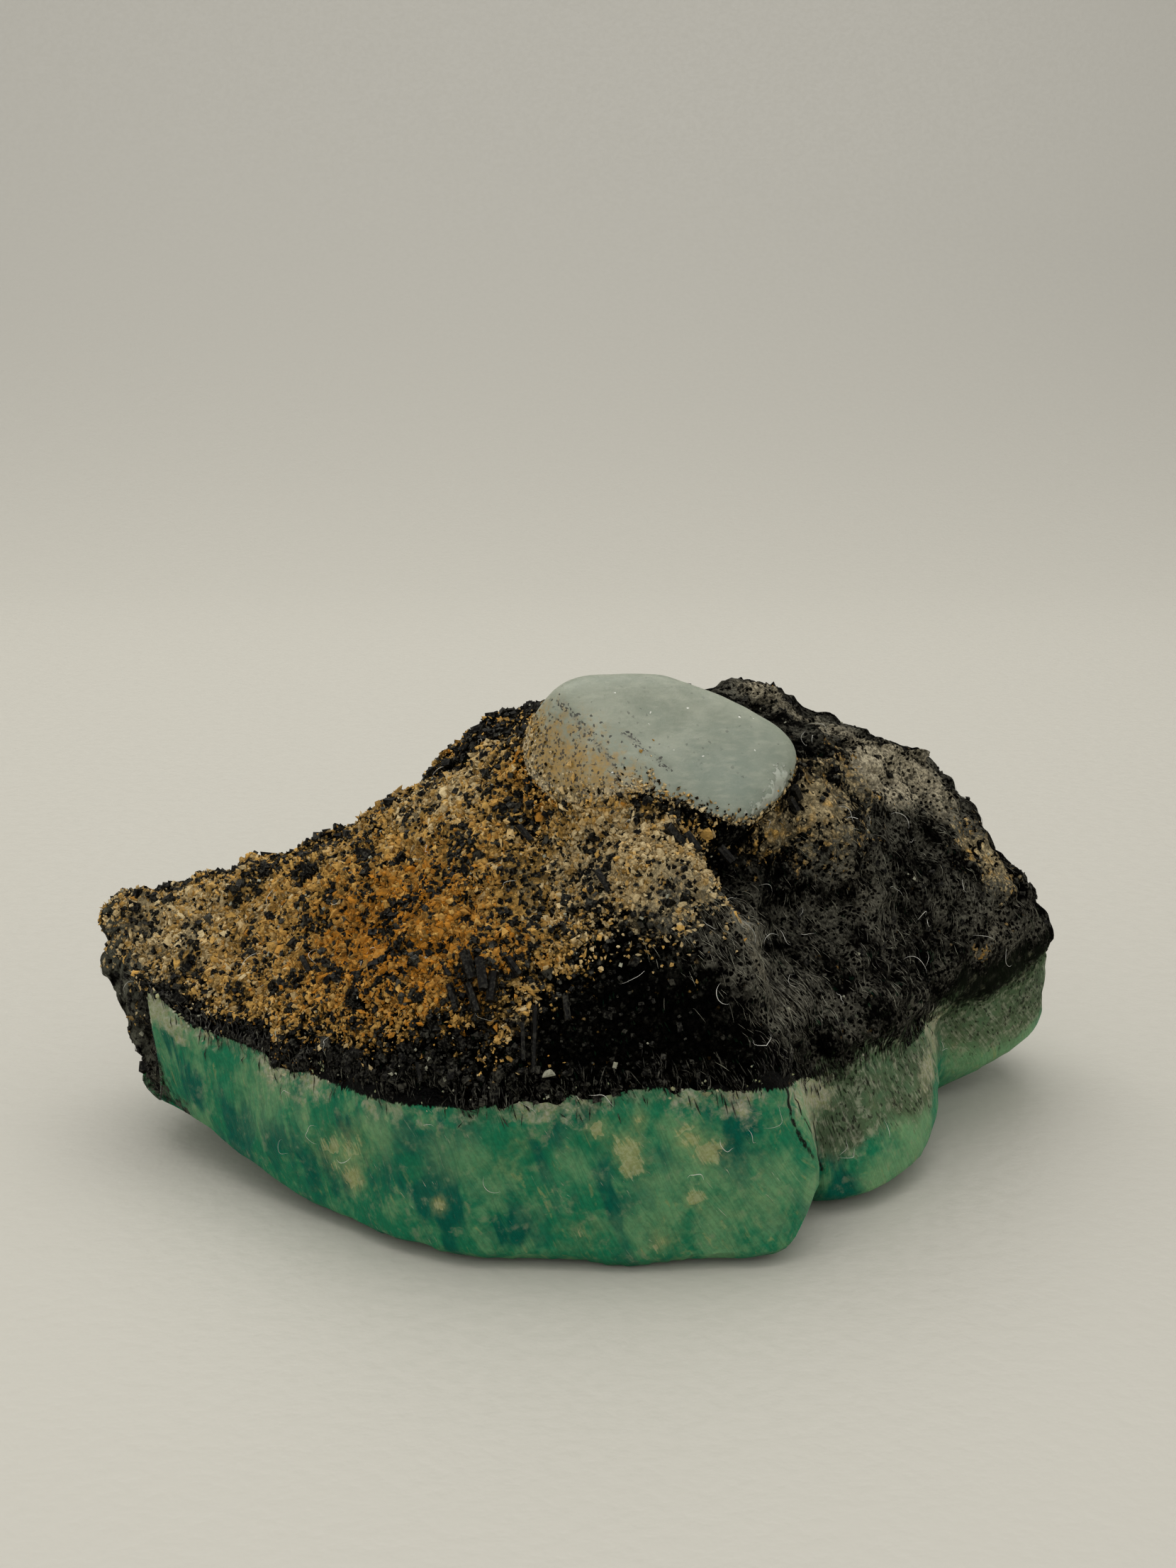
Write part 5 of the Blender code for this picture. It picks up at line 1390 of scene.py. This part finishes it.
def black_grains(skin, masks, clumps, sizes, tints, rng):
    """Tourmaline grains between the clumps of ochre, on the left half and thickest along the seam. A few
    are small and pale: painted glints, for broken faces that catch the light."""
    lobes = patchy(skin.points, GREEN_SKIN)
    left = smooth_step((10.0 - skin.points[..., 0]) / 6)
    near_seam = smooth_step((2.6 - skin.climb) / 1.8)
    bare = patchy(skin.points, BARE_FRONT)
    weight = (0.35 + 0.65 * (1 - clumps)) * (1 - lobes) * (skin.points[..., 1] < 20)
    weight = weight * (0.05 + left * (0.25 + 0.8 * masks["loose"] + 1.2 * near_seam)) * (1 - 0.8 * bare)
    weight = weight * (1 - 0.9 * masks["crust"]) * (1 - 0.6 * patchy(skin.points, PALE_TAN))
    count = sizes.black_grains
    row, station = picked_spots(rng, skin, (skin.seam, len(skin.points) - 1), weight, count)
    size = 0.8 * (sizes.grain_size / MM) * rng.lognormal(0.0, 0.4, count)
    stretch = rng.uniform((0.8, 0.8, 0.7), (1.1, 1.1, 1.7), (count, 3))
    # Painted glints: a few small grains made pale.
    bright = rng.random(count) < GLINT_SHARE
    size = np.where(bright, 0.6 * size, size)
    material = grain_material(
        "black_grain", tints.tourmaline, dimmed(tints.grey, 0.4), tints.rim, 0.42, gloss=0.05,
    )
    piece = loose_grains(
        "black_grains", block_shape(), skin, (row, station, size), stretch, 0.3, rng, material,
        upright=0.0, sink=0.5,
        tone=np.where(bright, 0.9, rng.beta(0.5, 6.0, count)), warmth=np.where(bright, 0.7, 0.0),
    )
    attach(piece, BODY)


class STONE_OT_grains(StoneOperator):
    """Scatter the weathered ochre grains and crumbs and the black tourmaline grains over the rock"""

    bl_idname = "stone.grains"
    bl_label = "Loose grains"

    def make(self, sizes, tints):
        skin = stone_skin(sizes.stations, sizes.ragged)
        rng = np.random.default_rng(7)
        masks = finish_masks(skin)
        clumps = smooth_step(0.5 + 1.4 * lattice_noise(skin.points, 1.4, 71))
        weathered_grains(skin, masks, clumps, sizes, tints, rng)
        black_grains(skin, masks, clumps, sizes, tints, rng)


class STONE_OT_knob_crumbs(StoneOperator):
    """Stick ochre and black crumbs round the knob's foot, higher up on its stained flank"""

    bl_idname = "stone.knob_crumbs"
    bl_label = "Knob crumbs"

    def make(self, sizes, tints):
        rng = np.random.default_rng(23)
        count = sizes.knob_crumbs
        turn = rng.uniform(0, 2 * np.pi, count)
        # The crumbs thin out upwards from the collar's edge; where the knob is stained they reach twice
        # as high, and fewer of them are black.
        stained = smooth_step(patchy(knob_point(knob_direction(turn, turn * 0)), KNOB_STAIN) * 2)
        tilt = collar_tilt(turn) + np.radians(np.abs(rng.normal(0, 1, count)) * (4 + 5 * stained) - 4)
        direction = knob_direction(turn, tilt)
        dark = rng.random(count) < 0.42 - 0.2 * stained
        material = grain_material(
            "foot_crumb", tints.tourmaline, tints.ochre, tints.orange, 0.9, gloss=0.03, tan=tints.tan,
        )
        size = 0.52 * sizes.grain_size / MM * rng.lognormal(0.0, 0.4, count)
        stretch = rng.uniform((0.9, 0.6, 0.4), (1.4, 1.0, 0.9), (count, 3)) * size[:, None]
        piece = joined(
            "knob_crumbs", shard_shape(), knob_point(direction, grow=0.02), frames_along(direction, rng),
            stretch, 0.5, rng, material,
            tone=np.where(dark, 0.03, rng.beta(2.6, 1.7, count)),
            warmth=np.clip(rng.normal(0.12, 0.2, count), 0, 1),
        )
        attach(piece, BODY)


class STONE_OT_crystals(StoneOperator):
    """Make the larger black tourmaline crystals: striated rods with flat ends"""

    bl_idname = "stone.crystals"
    bl_label = "Tourmaline crystals"

    def make(self, sizes, tints):
        rng = np.random.default_rng(11)
        start, end, radius = (np.array(part) for part in zip(*TOURMALINE_RODS))
        half = np.linalg.norm(end - start, axis=1) / 2
        points, faces = rod_shape(ROD_SIDES)
        points[:, :2] *= np.tile(np.where(np.arange(ROD_SIDES) % 2, ROD_FLUTES, 1.0), 2)[:, None]
        material = grain_material(
            "black_crystal", tints.tourmaline, dimmed(tints.grey, 0.3), tints.grey, 0.35, gloss=0.1,
        )
        piece = joined(
            "tourmaline_crystals", (points, faces), (start + end) / 2, frames_along(end - start, rng),
            np.stack([radius, radius, half], axis=1), 0.06, rng, material,
            tone=rng.uniform(0.0, 0.08, len(half)), warmth=np.zeros(len(half)),
        )
        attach(piece, BODY)


class STONE_OT_needles(StoneOperator):
    """Lay fine needles along the seam and grey fibres over the right of the rock"""

    bl_idname = "stone.needles"
    bl_label = "Needles and fibres"

    def make(self, sizes, tints):
        skin = stone_skin(sizes.stations, sizes.ragged)
        rng = np.random.default_rng(13)
        masks = finish_masks(skin)
        front = skin.points[..., 1] < 16

        # Needles lie in a band just above the seam, but not on the green lobes.
        band = np.exp(-(((skin.climb - 0.7) / 0.9) ** 2)) * front
        band = band * (1 - patchy(skin.points, GREEN_SKIN)) ** 2
        material = grain_material(
            "dark_needle", tints.tourmaline, dimmed(tints.grey, 0.35), tints.rim, 0.5, gloss=0.1,
        )
        piece = laid_threads(
            "seam_needles", skin, rng, (4, len(skin.points) - 1), band, sizes.needles, material, steps=3,
            lean=(0.25, 0.35), lift=(0.02, 0.18), radius=(0.025, 0.06), tone=(0.8, 3.0), pale=0.1,
        )
        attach(piece, BODY)

        # Fibres hang thickest on the ridge, and there are none on the weathered parts or the film.
        ridge = patchy(skin.points, FELTED_RIDGE)
        weight = (ridge**1.5 + 0.3 * masks["felt"]) * front * (skin.climb > 1)
        weight = weight * (1 - np.minimum(masks["skin"], 1)) * (1 - masks["ochre"])
        weight = weight * smooth_step((26 - skin.points[..., 2]) / 4)
        material = grain_material("grey_fibre", dimmed(tints.grey, 0.1), tints.grey, tints.rim, 0.45)
        rows = (skin.seam, len(skin.points) - 2)
        piece = laid_threads(
            "grey_fibres", skin, rng, rows, weight, sizes.fibres, material, steps=5,
            lean=(0.5, 0.25), lift=(0.0, 0.06), radius=(0.010, 0.020), tone=(1.5, 1.2), pale=0.3,
        )
        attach(piece, BODY)


class STONE_OT_rim_crumbs(StoneOperator):
    """Set pale feldspar crumbs along the slab's top edge"""

    bl_idname = "stone.rim_crumbs"
    bl_label = "Rim crumbs"

    def make(self, sizes, tints):
        skin = stone_skin(sizes.stations, sizes.ragged)
        rng = np.random.default_rng(17)
        weight = patchy(skin.points, CRUMBLED_RIM) ** 2 * np.exp(-(((skin.climb + 0.5) / 0.8) ** 2))
        row, station = picked_spots(rng, skin, (4, len(skin.points) - 1), weight, sizes.rim_crumbs)
        count = len(row)
        stretch = np.stack(
            [np.ones(count), rng.uniform(0.6, 1.0, count), rng.uniform(0.3, 0.7, count)], axis=1
        )
        size = rng.lognormal(-1.7, 0.4, count)
        material = grain_material("pale_crumb", tints.film, tints.rim, tints.vein, 0.5, subsurface=0.2)
        piece = loose_grains(
            "rim_crumbs", ball_shape(1), skin, (row, station, size), stretch, 0.35, rng, material,
            upright=0.8, sink=0.75, tone=rng.beta(2.5, 1.5, count), warmth=rng.uniform(0, 0.8, count),
        )
        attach(piece, BODY)


LINT_SHADE, LINT_WHITE = (0.4, 0.4, 0.36), (0.75, 0.74, 0.68)


def curled_paths(middles, normals, steps, rng):
    """Paths of lint over their middles. Each turns evenly along its length, with a slow wiggle, and
    arches off the skin."""
    count = len(middles)
    share = np.linspace(0, 1, steps)[None]
    frames = frames_along(normals, rng)
    length = rng.uniform(0.9, 2.4, count)[:, None]
    curl = rng.uniform(-3.4, 3.4, count)[:, None]
    wiggle = rng.uniform(0.0, 0.16, count)[:, None] * np.sin(share * rng.uniform(6, 14, count)[:, None])
    angle = curl * (share - 0.5) + rng.uniform(0, 6.28, count)[:, None]
    along = np.cumsum(np.cos(angle), axis=1) * length / steps
    across = np.cumsum(np.sin(angle), axis=1) * length / steps + wiggle
    rise = 0.22 + rng.uniform(0.0, 0.5, count)[:, None] * np.sin(np.pi * share)
    return (
        middles[:, None] + along[..., None] * frames[:, None, 0] + across[..., None] * frames[:, None, 1]
        + rise[..., None] * frames[:, None, 2]
    )


class STONE_OT_lint(StoneOperator):
    """Drop fine curled fibres of lint on the stone"""

    bl_idname = "stone.lint"
    bl_label = "Lint"

    def make(self, sizes, tints):
        skin = stone_skin(sizes.stations, sizes.ragged)
        rng = np.random.default_rng(19)
        x = skin.points[..., 0]
        weight = (0.2 + 1.0 * (x > 8) + 0.3 * (np.abs(x + 8) < 14)) * (skin.points[..., 1] < 8)
        row, station = picked_spots(rng, skin, (16, len(skin.points) - 6), weight, sizes.lint)
        normals = unit(at_spots(skin.normals, row, station))
        paths = curled_paths(at_spots(skin.points, row, station), normals, 14, rng)
        count = len(paths)
        material = grain_material("lint", LINT_SHADE, LINT_WHITE, LINT_WHITE, 0.6)
        piece = threads(
            "lint", paths, rng.uniform(0.012, 0.02, count), material,
            tone=rng.random(count), warmth=np.zeros(count),
        )
        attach(piece, BODY)


# ---------------------------------------------------------------- stage
CAMERA_PLACE = (0.246, -145.604, 63.303)      # millimetres, from the middle of the bed
CAMERA_PITCH = 14.65                          # degrees below level
CAMERA_LENS, CAMERA_SENSOR = 50.0, 36.0
CAMERA_CLIP = (0.005, 5.0)                    # metres
# The pale sheet: where its floor begins and ends, the radius of its bend, its top and its half width.
SHEET_FRONT, SHEET_BACK, SHEET_BEND = -1600.0, 230.0, 260.0
SHEET_TOP, SHEET_HALF = 620.0, 1400.0
SKY_COLOUR, SKY_STRENGTH = (1.0, 0.98, 0.93, 1), 0.85
LIGHTS = (     # name, place and aim in metres, width, power and colour
    ("top_light", (-0.05, 0.19, 0.47), (0.0, 0.0, 0.0), 0.6, 1.6, (1.0, 0.98, 0.94)),
    ("front_fill", (0.05, -0.60, 0.35), (0.0, 0.0, 0.01), 0.5, 0.2, (1.0, 0.98, 0.95)),
)


def sweep_surface():
    """The floor and backdrop in one sheet: a profile, flat, then a quarter circle, then upright, carried
    straight along X. Gives its points and faces."""
    flat = np.linspace(SHEET_FRONT, SHEET_BACK, 40)
    bend = np.linspace(0, np.pi / 2, 40)[1:]
    wall = np.linspace(SHEET_BEND, SHEET_TOP, 20)[1:]
    y = np.concatenate([flat, SHEET_BACK + SHEET_BEND * np.sin(bend), wall * 0 + SHEET_BACK + SHEET_BEND])
    z = np.concatenate([flat * 0, SHEET_BEND * (1 - np.cos(bend)), wall])
    x = np.linspace(-SHEET_HALF, SHEET_HALF, 30)
    points = np.stack(np.broadcast_arrays(x[None, :], y[:, None], z[:, None]), axis=-1)
    corner = (np.arange(len(y) - 1)[:, None] * len(x) + np.arange(len(x) - 1)).ravel()
    over = corner + len(x)
    halves = [np.stack([corner, corner + 1, over + 1], 1), np.stack([corner, over + 1, over], 1)]
    return points.reshape(-1, 3) + ORIGIN, np.concatenate(halves)


def pale_sheet(tints):
    """The floor and backdrop, matt, with painted shade: a little darker towards the back and the right."""
    material, bench = new_material("matt_sheet")
    place = bench.place()
    grainy = bench.noise(place, 900.0, detail=2.0)
    # Painted shade: the sheet fades to the darker backdrop tint towards the back, and a little towards the
    # right.
    back = bench.fit(bench.xyz(place)["Y"], 0.16, 0.44)
    side = bench.fit(bench.xyz(place)["X"], -0.1, 0.25, 0.0, 0.12)
    color = bench.mix(bench.sum(back, side), rgba(tints.floor), rgba(tints.backdrop))
    finish_material(bench, color, bench.fit(grainy, 0.3, 0.7, 0.42, 0.58), grainy, bump=0.06)
    points, faces = sweep_surface()
    return new_mesh("floor", points, faces, material, smooth=True)


def set_sky(scene):
    world = bpy.data.worlds.new("studio")
    scene.world = world
    world.use_nodes = True
    sky = world.node_tree.nodes["Background"].inputs
    sky["Color"].default_value = SKY_COLOUR
    sky["Strength"].default_value = SKY_STRENGTH


def add_light(scene, name, spot, aim, size, power, colour):
    light = bpy.data.lights.new(name, "AREA")
    light.size, light.energy, light.color = size, power, colour
    lamp = bpy.data.objects.new(name, light)
    lamp.location = spot
    lamp.rotation_euler = (Vector(aim) - Vector(spot)).to_track_quat("-Z", "Y").to_euler()
    scene.collection.objects.link(lamp)


def add_camera(scene):
    camera = bpy.data.cameras.new("camera")
    camera.lens = CAMERA_LENS
    camera.sensor_width = CAMERA_SENSOR
    camera.clip_start, camera.clip_end = CAMERA_CLIP
    holder = bpy.data.objects.new("camera", camera)
    holder.location = Vector(CAMERA_PLACE) * MM
    holder.rotation_euler = (np.radians(90 - CAMERA_PITCH), 0, 0)
    scene.collection.objects.link(holder)
    scene.camera = holder


class STONE_OT_stage(StoneOperator):
    """Set out the pale floor, the soft lights and the camera"""

    bl_idname = "stone.stage"
    bl_label = "Stage"

    def make(self, sizes, tints):
        scene = bpy.context.scene
        floor = pale_sheet(tints)
        set_sky(scene)
        for light in LIGHTS:
            add_light(scene, *light)
        add_camera(scene)
        scene.view_settings.view_transform = "Standard"
        scene.view_settings.look = "None"


OPERATORS = (
    STONE_OT_amazonite_slab, STONE_OT_tourmaline_matrix, STONE_OT_feldspar_knob, STONE_OT_grains,
    STONE_OT_knob_crumbs, STONE_OT_crystals, STONE_OT_needles, STONE_OT_rim_crumbs, STONE_OT_lint,
    STONE_OT_stage,
)


class STONE_PT_panel(bpy.types.Panel):
    """The stone's sizes, colours and operators"""

    bl_label = "Amazonite with tourmaline"
    bl_idname = "STONE_PT_panel"
    bl_space_type = "VIEW_3D"
    bl_region_type = "UI"
    bl_category = "Stone"

    def draw(self, context):
        for group in (context.scene.stone_sizes, context.scene.stone_tints):
            box = self.layout.box()
            for name in group.__annotations__:
                box.prop(group, name)
        for operator in OPERATORS:
            self.layout.operator(operator.bl_idname)


CLASSES = (StoneSizes, StoneTints, *OPERATORS, STONE_PT_panel)


def register():
    for kind in CLASSES:
        bpy.utils.register_class(kind)
    bpy.types.Scene.stone_sizes = PointerProperty(type=StoneSizes)
    bpy.types.Scene.stone_tints = PointerProperty(type=StoneTints)


def unregister():
    del bpy.types.Scene.stone_tints
    del bpy.types.Scene.stone_sizes
    for kind in reversed(CLASSES):
        bpy.utils.unregister_class(kind)


def main():
    register()
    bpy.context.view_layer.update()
    for kind in OPERATORS:
        group, name = kind.bl_idname.split(".")
        getattr(getattr(bpy.ops, group), name)()


if __name__ == "__main__":
    main()
